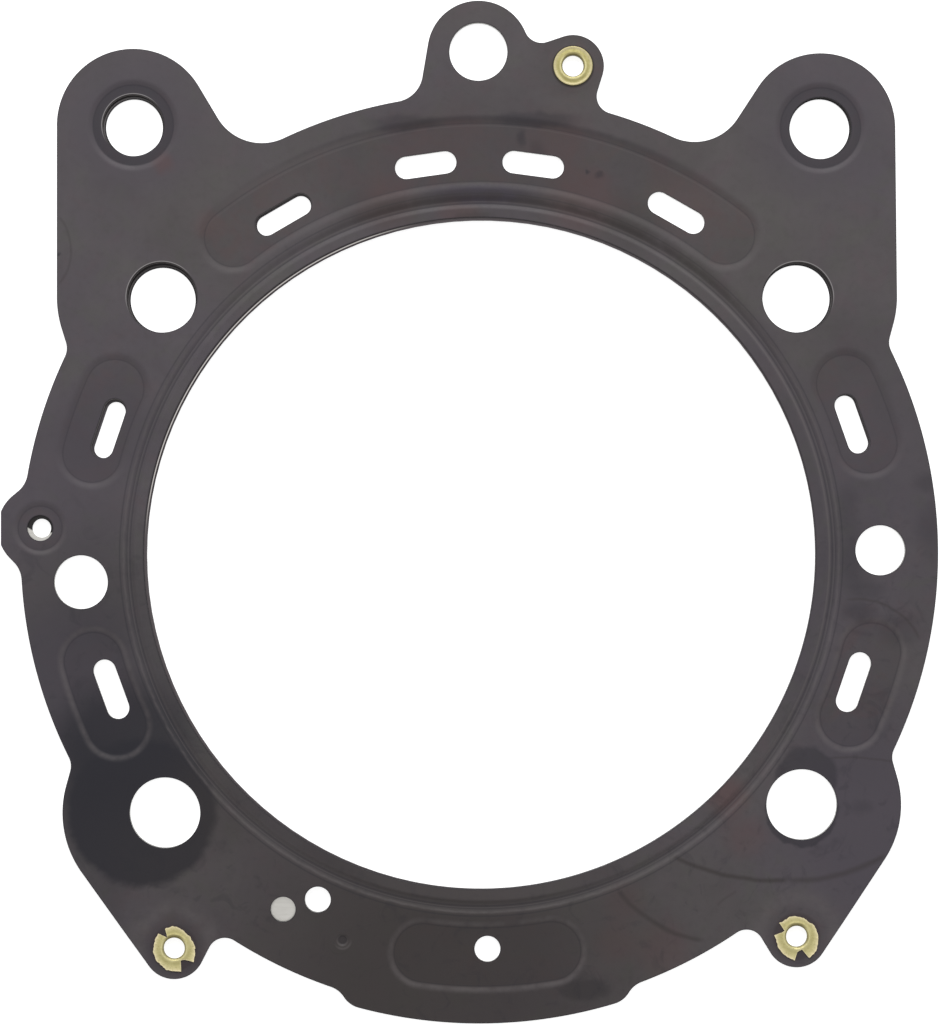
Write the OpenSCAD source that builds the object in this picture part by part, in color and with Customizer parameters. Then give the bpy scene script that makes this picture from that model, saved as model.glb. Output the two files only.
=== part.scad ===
// Head gasket of a large cylinder, built from layers of steel.
// Two coated bead sheets lie either side of a bare carrier plate, with a stopper ring
// round the opening, and three brass eyelets hold the layers together.
// Millimetres. Z runs along the cylinder, the face with the torn eyelets is up, and
// the underside of the lower bead sheet lies in the plane Z = 0.

/* [Layers] */
// Thickness of each coated bead sheet
sheet_t = 0.25; // [0.15:0.01:0.35]
// Thickness of the bare carrier plate between them
carrier_t = 0.4; // [0.2:0.01:0.8]
// Depth to which every bead and half-bead is pressed
bead_h = 0.25; // [0.15:0.01:0.4]
// Thickness of the stopper ring on the carrier
stopper_t = 0.12; // [0.05:0.01:0.14]
// How far the two lower layers stay inside the outline of the top sheet
lower_inset = 0.4; // [0.1:0.05:0.8]

/* [Opening and its bead] */
// Diameter of the cylinder opening
bore_d = 107; // [104:0.1:109]
// Width of the crescent of lower layers seen inside the top sheet's opening
bore_bite = 0.62; // [0:0.01:0.9]
// Direction of the crescent's middle, degrees from +X
bore_bite_dir = 140; // [0:5:355]
// From the opening to the near shoulder of the round bead
bead_gap = 1.8; // [1.2:0.1:2.2]
// Width of the round bead over its shoulders
bead_w = 2.45; // [1.6:0.05:3]
// Width of the flat floor of the round bead
bead_floor_w = 0.45; // [0.2:0.05:0.8]
// Width of the stopper ring
stopper_w = 1.6; // [0.8:0.1:1.8]

/* [Outer ring] */
// From the opening to the outer edge of the ring
ring_w = 19.9; // [18:0.1:22]
// How far the outer edge is struck off centre, to the left and to the top alike
ring_shift = 0.28; // [0:0.01:0.6]
// How far the foot stretch of the ring steps out at the bottom
foot_step = 1.9; // [1.2:0.1:3]
// Direction of the left end of the foot stretch, degrees from +X
foot_left = -104.9; // [-110:0.1:-98]
// Direction of the right end of the foot stretch
foot_right = -73.3; // [-80:0.1:-68]
// Radius of the outer and inner corners of the foot's steps
foot_corner_r = 4; // [2:0.1:5]

/* [Stud holes] */
// Diameter of the four stud holes
stud_d = 11.3; // [10.6:0.1:12]
// Upper left stud hole, from the opening's edge out to its centre
stud_ul_gap = 12.14; // [11.5:0.01:13]
// Its direction from the cylinder axis, degrees from +X
stud_ul_dir = 141.12; // [139:0.01:143]
// Upper right stud hole, from the opening's edge out
stud_ur_gap = 11.79; // [11.3:0.01:13]
// Its direction
stud_ur_dir = 39.13; // [37:0.01:41]
// Lower left stud hole, from the opening's edge out
stud_ll_gap = 11.82; // [11.3:0.01:13]
// Its direction
stud_ll_dir = 219.22; // [217:0.01:221]
// Lower right stud hole, from the opening's edge out
stud_lr_gap = 11.55; // [11.3:0.01:13]
// Its direction
stud_lr_dir = 322.06; // [320:0.01:324]
// Radius of the outer edge round the upper left stud
lobe_ul_r = 16.8; // [15.5:0.1:18]
// Radius of the outer edge round the lower left stud
lobe_ll_r = 16.4; // [15.5:0.1:18]
// Radius of the outer edge round the two studs on the right
lobe_right_r = 15.9; // [15:0.1:17.5]
// Radius of the hollow corners between the stud lobes and the ring
lobe_fillet = 3; // [1.5:0.1:5]
// Straight flank between a stud lobe and its hollow corner
lobe_flank = 2.4; // [0:0.1:4]

/* [Upper ears] */
// Diameter of the bolt holes in the two upper ears
ear_d = 9.9; // [8.5:0.1:10.5]
// Left ear's hole, from the ring's outer edge out to its centre
ear_left_out = 15.08; // [14:0.01:16]
// Its direction from the cylinder axis, degrees from +X
ear_left_dir = 129.01; // [127:0.01:131]
// Right ear's hole, from the ring's outer edge out
ear_right_out = 13.85; // [13:0.01:16]
// Its direction
ear_right_dir = 51.51; // [49:0.01:53]
// Radius of the left ear's outer edge
ear_left_r = 12.2; // [11:0.1:13]
// Radius of the right ear's outer edge
ear_right_r = 11.95; // [11:0.05:13]
// Radius of the hollow corners between the ears and the ring
ear_fillet = 8.2; // [6:0.1:10]
// Straight flank between an ear and its hollow corner
ear_flank = 6; // [3:0.1:8]
// Radius of the pressed flat round each ear hole
ear_flat_r = 6.4; // [5.6:0.1:7.5]

/* [Top tab] */
// Diameter of the bolt hole in the top tab
top_d = 9.3; // [8:0.1:10]
// Top tab hole, from the ring's outer edge out
top_out = 7.1; // [6:0.01:9]
// Its direction
top_dir = 90.32; // [88:0.01:92]
// Radius of the top tab's outer edge
top_r = 8.15; // [7:0.05:10]
// Radius of the hollow corner at the left foot of the top tab
top_fillet = 4.8; // [3:0.1:6]
// Straight flank at the left foot of the top tab
top_flank = 5.5; // [3:0.1:7]

/* [Side holes] */
// Diameter of the hole on the left side
side_left_d = 8.6; // [7:0.1:10]
// Left side hole, from the opening's edge out
side_left_gap = 10.7; // [10:0.01:11.5]
// Its direction
side_left_dir = 183.93; // [182:0.01:185]
// Diameter of the hole on the right side
side_right_d = 8; // [7:0.1:10]
// Right side hole, from the opening's edge out
side_right_gap = 10.4; // [10:0.01:11.5]
// Its direction
side_right_dir = 0.63; // [-2:0.01:3]

/* [Pin tab on the left] */
// Diameter of the pin hole in the bead sheets
pin_d = 4.1; // [3.2:0.1:4.6]
// Diameter of the pin hole in the carrier
pin_carrier_d = 3; // [2.4:0.1:3.1]
// How far the carrier's pin hole sits to the right of the sheets' hole
pin_offset = 0.24; // [0:0.01:0.4]
// Pin hole, from the ring's outer edge inwards
pin_in = 2.67; // [2:0.01:3.5]
// Its direction
pin_dir = 176.56; // [175:0.01:178]
// Radius of the pin tab's outer edge
pin_tab_r = 6.8; // [6:0.1:8]
// From the pin hole's centre to the cut-off left side of the tab
pin_tab_flat = 6.25; // [5:0.05:7]
// Radius of the pressed flat round the pin hole
pin_flat_r = 3.5; // [3:0.1:4]
// Radius of the hollow corners at the pin tab
pin_fillet = 4.2; // [3:0.1:6]
// Straight flank between the pin tab and its hollow corners
pin_flank = 1.1; // [0:0.1:2]

/* [Coolant slots] */
// Length of each coolant slot
slot_l = 9.9; // [8:0.1:11]
// Width of each coolant slot
slot_w = 3.6; // [2.5:0.1:4.5]
// From the opening to the slots' centre line
slot_gap = 9.5; // [8.6:0.1:10.5]

/* [Half-beads round the slots] */
// From the opening to the middle of the pressed bands
band_gap = 10.9; // [10.4:0.1:11.2]
// Width of the flat floor of the pressed bands
band_w = 9.3; // [8.6:0.1:9.6]
// Width of the slope round the pressed bands
band_slope_w = 1.4; // [0.8:0.1:1.5]
// Width of the slope round the pressed flats of the ears and the pin hole
slope_w = 1.1; // [0.6:0.1:1.3]

/* [Small holes] */
// Diameter of the two small holes through all layers
small_d = 4.15; // [3:0.05:5]
// Small hole at the lower left, from the opening's edge out
oil_gap = 7.58; // [7.2:0.01:8.5]
// Its direction
oil_dir = 244.65; // [243:0.01:246]
// Small hole in the bottom band, from the opening's edge out
drain_gap = 9.61; // [8.5:0.01:11]
// Its direction
drain_dir = 270.91; // [268:0.01:274]
// Diameter of the window in the top sheet alone
window_d = 4; // [3:0.1:5]
// Window, from the opening's edge out
window_gap = 11.5; // [10.5:0.01:12.5]
// Its direction
window_dir = 240.81; // [239:0.01:241]
// Clinch mark that locks the layers, from the opening's edge out
clinch_gap = 12.07; // [11:0.01:13]
// Its direction
clinch_dir = 250.21; // [249:0.01:252]
// Radius of the clinch mark's floor
clinch_r = 0.6; // [0.4:0.05:0.9]
// Width of the slope round it
clinch_slope_w = 0.5; // [0.3:0.05:0.8]

/* [Eyelets] */
// Diameter of the hole through an eyelet
eyelet_d = 3.4; // [2.6:0.1:3.6]
// Thickness of the eyelet's wall
eyelet_wall = 0.25; // [0.15:0.01:0.35]
// Gap between an eyelet's barrel and the layers
eyelet_clear = 0.05; // [0.02:0.01:0.1]
// Diameter of an eyelet's round head
eyelet_head_d = 6.3; // [5.6:0.1:7]
// Radius of the part of a tab that an eyelet squeezes flat
eyelet_flat_r = 4.2; // [4:0.1:4.8]
// Width over which the bead sheets bend towards it
tab_bend_w = 4.8; // [3:0.1:5]
// Top eyelet, from the ring's outer edge out
eyelet_top_out = 6.22; // [5.8:0.01:7]
// Its direction
eyelet_top_dir = 79.36; // [78:0.01:80.5]
// Left eyelet, from the ring's outer edge out
eyelet_left_out = 6.5; // [6:0.01:7]
// Its direction
eyelet_left_dir = 232.04; // [231:0.01:233.5]
// Right eyelet, from the ring's outer edge out
eyelet_right_out = 5.87; // [5.6:0.01:6.6]
// Its direction
eyelet_right_dir = 309.57; // [308.5:0.01:311]
// Radius of the tabs round the eyelets
eyelet_tab_r = 4.95; // [4.3:0.05:5.5]
// Radius of the hollow corners at the eyelet tabs
tab_fillet = 2.8; // [2:0.1:4]
// Straight flank between an eyelet tab and its hollow corner
tab_flank = 2.7; // [1:0.1:3.5]

/* [Hidden] */

$fn = 96;
coating = [0.31, 0.29, 0.3];
bare_steel = [0.72, 0.71, 0.7];
brass_plate = [0.78, 0.72, 0.48];
arc_angle = 8;       // widest turn between two points of an outline
arc_chord = 2.4;     // longest chord on the outline's large arcs
slope_steps = 3;     // flats across the slope of a pressed band or ring
bead_steps = 4;      // flats across each slope of the round bead
band_lap = 1;        // degrees by which the two halves of a band overlap
bead_lean = 0.42;    // share of the round bead's two slopes that is its inner one
slope_lean = 0.75;   // below 1, a slope is steeper near its foot
over = 1;            // how far cutters reach past what they cut
tiny = 0.01;         // shortest straight that an outline keeps
hair = 0.01;         // step that keeps two overlapping walls apart
petal_dip_r = 2.6;   // lowest ring on the outer face of an eyelet's torn petals
petal_lift_r = 3.2;  // radius past which they lift
petal_reach = 4.2;   // radius past every point of the torn ends

bore_r = bore_d / 2;
ring_r = bore_r + ring_w;
ring_c = [-ring_shift, ring_shift];
slot_r = bore_r + slot_gap;
band_r = bore_r + band_gap;

// Heights, upwards: lower sheet, carrier, upper sheet
carrier_z = sheet_t + bead_h;
upper_z = carrier_z + carrier_t;
stack_h = upper_z + bead_h + sheet_t;

// Places inside the ring go with the opening, those on tabs with the ring's outer edge
stud_ul = polar(bore_r + stud_ul_gap, stud_ul_dir);
stud_ur = polar(bore_r + stud_ur_gap, stud_ur_dir);
stud_ll = polar(bore_r + stud_ll_gap, stud_ll_dir);
stud_lr = polar(bore_r + stud_lr_gap, stud_lr_dir);
side_left = polar(bore_r + side_left_gap, side_left_dir);
side_right = polar(bore_r + side_right_gap, side_right_dir);
oil_hole = polar(bore_r + oil_gap, oil_dir);
drain_hole = polar(bore_r + drain_gap, drain_dir);
window = polar(bore_r + window_gap, window_dir);
clinch = polar(bore_r + clinch_gap, clinch_dir);
ear_left = polar(ring_r + ear_left_out, ear_left_dir);
ear_right = polar(ring_r + ear_right_out, ear_right_dir);
top_hole = polar(ring_r + top_out, top_dir);
pin_hole = polar(ring_r - pin_in, pin_dir);
top_eyelet = polar(ring_r + eyelet_top_out, eyelet_top_dir);
left_eyelet = polar(ring_r + eyelet_left_out, eyelet_left_dir);
right_eyelet = polar(ring_r + eyelet_right_out, eyelet_right_dir);
eyelets = [top_eyelet, left_eyelet, right_eyelet];
barrel_r = eyelet_d / 2 + eyelet_wall;

// Rough plate that a sheet is cut from
plate_r = norm(ear_left) + ear_left_r + over;

// Which share of its bite a hole shows in the top sheet, the carrier and the lower sheet
TOP = 0;
CARRIER = 1;
BOTTOM = 2;
hole_share = [0, 0.2, 1];
bore_share = [0, 1, 0.8];

// Round holes of all layers: centre, diameter, bite of the lower layers, its direction
holes = [
    [stud_ul, stud_d, 0.9, 105],
    [stud_ur, stud_d, 0.56, 50],
    [stud_ll, stud_d, 0, 0],
    [stud_lr, stud_d, 0, 0],
    [ear_left, ear_d, 0.8, 110],
    [ear_right, ear_d, 0.34, 50],
    [top_hole, top_d, 0, 0],
    [side_left, side_left_d, 0, 0],
    [side_right, side_right_d, 0, 0],
    [oil_hole, small_d, 0, 0],
    [drain_hole, small_d, 0, 0]
];

// Coolant slots: direction from the axis, bite of the lower layers, its direction
slots = [
    [19.4, 0.3, 30],
    [60.3, 0, 0],
    [82.4, 0, 0],
    [98.1, 0, 0],
    [120.2, 0.4, 120],
    [161.3, 0.6, 130],
    [200, 0, 0],
    [341.1, 0, 0]
];

// Pressed bands: directions of the centres of their round ends
bands = [
    [16, 25.1],
    [52.6, 128],
    [155.6, 165.4],
    [195.4, 205.1],
    [261.7, 280.1],
    [336.2, 346]
];

// Round pressed flats: centre, radius of the floor and width of the slope
flats = [
    [ear_left, ear_flat_r, slope_w],
    [ear_right, ear_flat_r, slope_w],
    [pin_hole, pin_flat_r, slope_w],
    [clinch, clinch_r, clinch_slope_w],
    [top_eyelet, eyelet_flat_r, tab_bend_w],
    [left_eyelet, eyelet_flat_r, tab_bend_w],
    [right_eyelet, eyelet_flat_r, tab_bend_w]
];

// Torn ends of the eyelets as seen from outside: angle and radius of each point
torn_left = [
    [115, 3.55], [93, 3.63], [82, 3.52], [63, 3.29], [35, 3.24], [5, 3.41],
    [-15, 3.57], [-35, 3.86], [-47, 2.57], [-61, 2.26], [-73, 3.94], [-88, 3.75],
    [-110, 3.76], [-116, 3.61], [-147, 3.51], [-172, 3.47], [-204, 3.41],
    [-223, 3.51], [-238, 2.07]
];
torn_right = [
    [142, 3.66], [135, 3.36], [122, 3.3], [110, 3.47], [94, 3.41], [68, 3.21],
    [32, 3.36], [5, 3.55], [-20, 3.7], [-37, 3.9], [-51, 3.95], [-60, 4.03],
    [-68, 2.33], [-88, 2.53], [-95, 3.87], [-115, 3.7], [-134, 3.54], [-153, 3.51],
    [-168, 3.38], [-183, 3.63], [-205, 2.14]
];
torn_top = [
    [84, 3.6], [60, 3.4], [28, 3.45], [-4, 3.6], [-18, 2.3], [-34, 3.7],
    [-70, 3.5], [-104, 3.65], [-128, 3.8], [-139, 2.2], [-152, 3.6], [-180, 3.4],
    [-215, 3.5], [-250, 3.7], [-264, 2.25]
];

function clamp1(v) = max(-1, min(1, v));
function wrap(a) = a - 360 * floor(a / 360);
function polar(r, a) = [r * cos(a), r * sin(a)];
function xy(p) = [p[0], p[1]];

// An outline is a closed chain of circles [x, y, r], walked anticlockwise, each joined
// to the next by a common tangent. A hollow corner has a negative radius.

// Direction of the tangent from circle a to circle b, and its length
function tangent_dir(a, b) =
    let (d = xy(b) - xy(a))
    atan2(d[1], d[0]) + asin(clamp1((a[2] - b[2]) / norm(d)));
function tangent_length(a, b) =
    let (d = norm(xy(b) - xy(a)))
    sqrt(max(0, d * d - pow(a[2] - b[2], 2)));

// Turn along a circle from one tangent to the next, with its sign
function turn(from, to, r) =
    let (d = wrap(to - from))
    r > 0 ? (d > 359.9 ? 0 : d) : (d < 0.1 ? 0 : d - 360);

function arc_steps(r, angle) =
    max(1, ceil(abs(angle) / arc_angle), ceil(abs(angle * r) * PI / 180 / arc_chord));

// Points of a chain, moved outwards by grow
function chain_points(chain, grow = 0) =
    let (n = len(chain))
    [for (i = [0 : n - 1])
        let (before = chain[(i + n - 1) % n])
        let (here = chain[i])
        let (next = chain[(i + 1) % n])
        let (from = tangent_dir(before, here))
        let (angle = turn(from, tangent_dir(here, next), here[2]))
        let (steps = arc_steps(here[2], angle))
        let (last = tangent_length(here, next) > tiny ? steps : steps - 1)
        for (k = [0 : last])
            let (a = from + angle * k / steps)
            xy(here) + (here[2] + grow) * [sin(a), -cos(a)]];

// Meeting point, right of the way from a to b, of circles of radius ra and rb
function meet(a, ra, b, rb) =
    let (d = norm(b - a))
    let (u = (b - a) / d)
    let (along = (ra * ra - rb * rb + d * d) / (2 * d))
    a + along * u + sqrt(max(0, ra * ra - along * along)) * [u[1], -u[0]];

// Hollow corner of radius f between circles a and b, with a straight flank at one end
function hollow(a, b, f, flank_a = 0, flank_b = 0) =
    let (ra = norm([a[2] + f, flank_a]))
    let (rb = norm([b[2] + f, flank_b]))
    let (c = meet(xy(a), ra, xy(b), rb))
    [c[0], c[1], -f];

function disc(c, r) = [c[0], c[1], r];

ring = disc(ring_c, ring_r);
foot = disc(ring_c, ring_r + foot_step);
foot_l = disc(ring_c + polar(foot[2] - foot_corner_r, foot_left), foot_corner_r);
foot_r = disc(ring_c + polar(foot[2] - foot_corner_r, foot_right), foot_corner_r);
tab_top = disc(top_hole, top_r);
tab_ear_l = disc(ear_left, ear_left_r);
tab_ear_r = disc(ear_right, ear_right_r);
tab_stud_ul = disc(stud_ul, lobe_ul_r);
tab_stud_ur = disc(stud_ur, lobe_right_r);
tab_stud_ll = disc(stud_ll, lobe_ll_r);
tab_stud_lr = disc(stud_lr, lobe_right_r);
tab_pin = disc(pin_hole, pin_tab_r);
tab_eyelet_t = disc(top_eyelet, eyelet_tab_r);
tab_eyelet_l = disc(left_eyelet, eyelet_tab_r);
tab_eyelet_r = disc(right_eyelet, eyelet_tab_r);

outline = [
    tab_top,
    hollow(tab_top, ring, top_fillet, flank_a = top_flank),
    ring,
    hollow(ring, tab_ear_l, ear_fillet, flank_b = ear_flank),
    tab_ear_l,
    tab_stud_ul,
    hollow(tab_stud_ul, ring, lobe_fillet, flank_a = lobe_flank),
    ring,
    hollow(ring, tab_pin, pin_fillet, flank_b = pin_flank),
    tab_pin,
    hollow(tab_pin, ring, pin_fillet, flank_a = pin_flank),
    ring,
    hollow(ring, tab_stud_ll, lobe_fillet, flank_b = lobe_flank),
    tab_stud_ll,
    tab_eyelet_l,
    hollow(tab_eyelet_l, ring, tab_fillet, flank_a = tab_flank),
    ring,
    hollow(ring, foot_l, foot_corner_r),
    foot_l,
    foot,
    foot_r,
    hollow(foot_r, ring, foot_corner_r),
    ring,
    hollow(ring, tab_eyelet_r, tab_fillet, flank_b = tab_flank),
    tab_eyelet_r,
    tab_stud_lr,
    hollow(tab_stud_lr, ring, lobe_fillet, flank_a = lobe_flank),
    ring,
    hollow(ring, tab_stud_ur, lobe_fillet, flank_b = lobe_flank),
    tab_stud_ur,
    tab_ear_r,
    hollow(tab_ear_r, ring, ear_fillet, flank_a = ear_flank),
    ring,
    hollow(ring, tab_eyelet_t, tab_fillet, flank_b = tab_flank),
    tab_eyelet_t,
    hollow(tab_eyelet_t, tab_top, tab_fillet, flank_a = tab_flank)
];

// Height of a smooth slope, from 0 to 1, at the share s of its width
function slope(s) = (1 - cos(180 * pow(s, slope_lean))) / 2;

// One side of a pressing in section, from the edge of its floor at height z outwards
// and up its slope, then straight up past the sheet
function pressed_side(x, width, steps, z, reach) = concat(
    [for (k = [0 : steps]) [x + width * k / steps, z + bead_h * slope(k / steps)]],
    [[x + width, z + bead_h + reach]]
);

// Both sides of a pressing in section, left and right of its middle at m
function pressed_section(m, left, right) = concat(
    [for (p = left) [m - p[0], p[1]]],
    [for (i = [len(right) - 1 : -1 : 0]) [m + right[i][0], right[i][1]]]
);

// Solid that fills half a pressed band from its floor past its slope: the round end
// on the X axis, and the band that leads back from it round the opening
module band_half(angle, width, z, reach) {
    side = pressed_side(width / 2, band_slope_w, slope_steps, z, reach);
    rotate_extrude(angle = angle, start = -angle)
        polygon(pressed_section(band_r, side, side));
    translate([band_r, 0, 0]) rotate_extrude(angle = 180)
        polygon(concat(side, [[0, z + bead_h + reach], [0, z]]));
}

// The two halves overlap, and share no wall because one is a hair narrower
module band_fill(ends, z, reach) {
    back = (ends[1] - ends[0]) / 2 + band_lap;
    rotate(ends[1]) band_half(back, band_w, z, reach);
    rotate(ends[0]) mirror([0, 1, 0]) band_half(back, band_w - 2 * hair, z, reach);
}

// The same for a round pressed flat
module flat_fill(r, width, z, reach) {
    side = pressed_side(r, width, slope_steps, z, reach);
    rotate_extrude() polygon(concat(side, [[0, z + bead_h + reach], [0, z]]));
}

// The same for the round bead that circles the opening, steeper on its inner side
module bead_fill(z, reach) {
    slopes = bead_w - bead_floor_w;
    inner = bead_lean * slopes;
    middle = bore_r + bead_gap + inner + bead_floor_w / 2;
    rotate_extrude($fn = 180)
        polygon(pressed_section(
            middle,
            pressed_side(bead_floor_w / 2, inner, bead_steps, z, reach),
            pressed_side(bead_floor_w / 2, slopes - inner, bead_steps, z, reach)
        ));
}

// Everything that is pressed down in a bead sheet
module pressings(z, reach) {
    bead_fill(z, reach);
    for (ends = bands) band_fill(ends, z, reach);
    for (f = flats) translate(f[0]) flat_fill(f[1], f[2], z, reach);
}

// Hole of a layer: the lower layers' holes are smaller and sit away from the bite
module hole(centre, d, bite, direction, share, h) {
    shift = bite * share / 2;
    translate(concat(centre - polar(shift, direction), [-over]))
        cylinder(d = d - 2 * shift, h = h + 2 * over);
}

module slot(angle, bite, direction, share, h) {
    shift = bite * share / 2;
    r = slot_w / 2 - shift;
    reach = (slot_l - slot_w) / 2;
    translate(concat(-polar(shift, direction), [-over])) rotate(angle) translate([slot_r, 0]) {
        for (side = [-1, 1]) translate([0, side * reach]) cylinder(r = r, h = h + 2 * over);
        translate([-r, -reach]) cube([2 * r, 2 * reach, h + 2 * over]);
    }
}

// Cutters for all the holes of a layer that is h high
module all_holes(layer, h) {
    hole(polar(bore_bite / 2, bore_bite_dir), bore_d + bore_bite, bore_bite, bore_bite_dir,
         bore_share[layer], h, $fn = 180);
    for (a = holes) hole(a[0], a[1], a[2], a[3], hole_share[layer], h);
    for (s = slots) slot(s[0], s[1], s[2], hole_share[layer], h);
    for (e = eyelets) hole(e, 2 * (barrel_r + eyelet_clear), 0, 0, 0, h);
    if (layer == CARRIER) hole(pin_hole + [pin_offset, 0], pin_carrier_d, 0, 0, 0, h);
    else hole(pin_hole, pin_d, 0, 0, 0, h);
    if (layer == TOP) hole(window, window_d, 0, 0, 0, h);
}

// Flat blank of a layer, with the pin tab's left side cut straight
module blank(inset, z, h) {
    cut = pin_tab_r + over;
    difference() {
        translate([0, 0, z]) linear_extrude(h) polygon(chain_points(outline, -inset));
        translate([pin_hole[0] - pin_tab_flat + inset - cut, pin_hole[1] - cut, z - over])
            cube([cut, 2 * cut, h + 2 * over]);
    }
}

// Bead sheet standing on its pressed floors at height 0, its field raised by bead_h
module bead_sheet(layer, inset) {
    difference() {
        intersection() {
            difference() {
                union() {
                    translate([0, 0, bead_h]) cylinder(r = plate_r, h = sheet_t);
                    pressings(0, sheet_t / 2);
                }
                pressings(sheet_t, over);
            }
            blank(inset, -over, bead_h + sheet_t + 2 * over);
        }
        all_holes(layer, bead_h + sheet_t);
    }
}

module top_bead_sheet() {
    color(coating) translate([0, 0, upper_z]) bead_sheet(TOP, 0);
}

module bottom_bead_sheet() {
    color(coating) translate([0, 0, carrier_z]) mirror([0, 0, 1]) bead_sheet(BOTTOM, lower_inset);
}

module carrier_sheet() {
    color(bare_steel) translate([0, 0, carrier_z]) difference() {
        blank(lower_inset, 0, carrier_t);
        all_holes(CARRIER, carrier_t);
    }
}

// Thin ring that keeps the round bead from being crushed flat
module stopper_ring() {
    shift = bore_bite * (1 - bore_share[CARRIER]) / 2;
    color(bare_steel) translate(concat(polar(shift, bore_bite_dir), [upper_z])) difference() {
        cylinder(r = bore_r + stopper_w, h = stopper_t, $fn = 180);
        translate([0, 0, -over]) cylinder(r = bore_r + shift, h = stopper_t + 2 * over, $fn = 180);
    }
}

// Eyelet with its round head at the bottom and its torn end at the top. Both lie in the
// hollows of the squeezed tab, flush with the faces of the stack.
module eyelet(torn) {
    r = eyelet_d / 2;
    h = bead_h;
    z = stack_h - h;
    rim = eyelet_head_d / 2;
    color(brass_plate) {
        // Barrel and dished round head
        rotate_extrude() polygon([
            [r, z + 0.6 * h], [r, 0.7 * h], [r + 0.08, 0.3 * h], [barrel_r - 0.05, 0.06 * h],
            [barrel_r + 0.15, 0], [(barrel_r + rim) / 2 + 0.1, 0.25 * h],
            [rim - 0.25, 0.1 * h], [rim - 0.08, 0.3 * h], [rim, 0.7 * h], [rim - 0.05, h],
            [barrel_r, h], [barrel_r, z + 0.6 * h]
        ]);
        // Petals of the torn end, lifted a little at their tips
        intersection() {
            rotate_extrude() polygon([
                [r, z - 0.1], [barrel_r, z], [petal_lift_r, z], [petal_reach, z + 0.4 * h],
                [petal_reach, z + h], [petal_lift_r, z + 0.8 * h], [petal_dip_r, z + 0.75 * h],
                [barrel_r + 0.1, z + h], [r + 0.12, z + 0.85 * h], [r, z + 0.5 * h]
            ]);
            linear_extrude(stack_h + over)
                polygon([for (p = torn) polar(p[1], p[0])]);
        }
    }
}

// Top eyelet, put in from above so that its round head shows
module eyelet_top() {
    translate(concat(top_eyelet, [stack_h])) mirror([0, 0, 1]) eyelet(torn_top);
}

module eyelet_left() {
    translate(left_eyelet) eyelet(torn_left);
}

module eyelet_right() {
    translate(right_eyelet) eyelet(torn_right);
}

top_bead_sheet();
carrier_sheet();
stopper_ring();
bottom_bead_sheet();
eyelet_top();
eyelet_left();
eyelet_right();
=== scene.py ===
import math

import bpy
import numpy as np
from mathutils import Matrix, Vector
from mathutils.geometry import delaunay_2d_cdt
from mathutils.kdtree import KDTree


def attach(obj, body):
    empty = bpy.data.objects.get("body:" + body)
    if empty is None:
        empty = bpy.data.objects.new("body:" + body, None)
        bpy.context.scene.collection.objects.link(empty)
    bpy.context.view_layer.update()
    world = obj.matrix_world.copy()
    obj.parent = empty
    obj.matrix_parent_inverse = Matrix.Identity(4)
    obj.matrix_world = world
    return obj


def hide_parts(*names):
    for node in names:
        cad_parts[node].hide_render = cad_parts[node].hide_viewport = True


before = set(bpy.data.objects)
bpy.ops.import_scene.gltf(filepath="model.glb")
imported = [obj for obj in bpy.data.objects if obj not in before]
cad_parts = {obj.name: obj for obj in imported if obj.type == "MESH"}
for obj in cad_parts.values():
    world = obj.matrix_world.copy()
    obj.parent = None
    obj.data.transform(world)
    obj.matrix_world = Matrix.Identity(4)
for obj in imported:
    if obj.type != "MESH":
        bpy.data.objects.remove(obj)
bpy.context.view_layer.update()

# Lengths are in millimetres, as in the CAD source, and MM turns them into metres
MM = 0.001

# Layers
SHEET_T = 0.25
BEAD_H = 0.25
CARRIER_T = 0.4
LOWER_INSET = 0.4
CARRIER_Z = SHEET_T + BEAD_H
UPPER_Z = CARRIER_Z + CARRIER_T
STACK_H = UPPER_Z + BEAD_H + SHEET_T

# Opening, bead and ring
BORE_R = 53.5
BORE_BITE = 0.62
BORE_BITE_DIR = 140
BEAD_GAP = 1.8
BEAD_W = 2.45
BEAD_FLOOR_W = 0.45
BEAD_LEAN = 0.42
RING_W = 19.9
RING_R = BORE_R + RING_W
RING_C = (-0.28, 0.28)
FOOT_STEP = 1.9
FOOT_LEFT = -104.9
FOOT_RIGHT = -73.3
FOOT_CORNER_R = 4

# Round bead: inner shoulder, edges of its floor and outer shoulder
SHOULDER_R = BORE_R + BEAD_GAP
FOOT_R = SHOULDER_R + BEAD_LEAN * (BEAD_W - BEAD_FLOOR_W)
FAR_FOOT_R = FOOT_R + BEAD_FLOOR_W
OUTER_R = SHOULDER_R + BEAD_W

# Slots and the bands pressed round them
SLOT_L = 9.9
SLOT_W = 3.6
SLOT_R = BORE_R + 9.5
BAND_R = BORE_R + 10.9
BAND_W = 9.3
BAND_SLOPE_W = 1.4
SLOPE_W = 1.1
SLOPE_LEAN = 0.75
SLOTS = [(19.4, 0.3, 30), (60.3, 0, 0), (82.4, 0, 0), (98.1, 0, 0), (120.2, 0.4, 120),
         (161.3, 0.6, 130), (200, 0, 0), (341.1, 0, 0)]
BANDS = [(16, 25.1), (52.6, 128), (155.6, 165.4), (195.4, 205.1), (261.7, 280.1), (336.2, 346)]

# Outline radii and corners
LOBE_UL_R = 16.8
LOBE_LL_R = 16.4
LOBE_RIGHT_R = 15.9
LOBE_FILLET, LOBE_FLANK = 3, 2.4
EAR_LEFT_R = 12.2
EAR_RIGHT_R = 11.95
EAR_FILLET, EAR_FLANK = 8.2, 6
TOP_R = 8.15
TOP_FILLET, TOP_FLANK = 4.8, 5.5
PIN_TAB_R = 6.8
PIN_TAB_FLAT = 6.25
PIN_FILLET, PIN_FLANK = 4.2, 1.1
EYELET_TAB_R = 4.95
TAB_FILLET, TAB_FLANK = 2.8, 2.7

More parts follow.
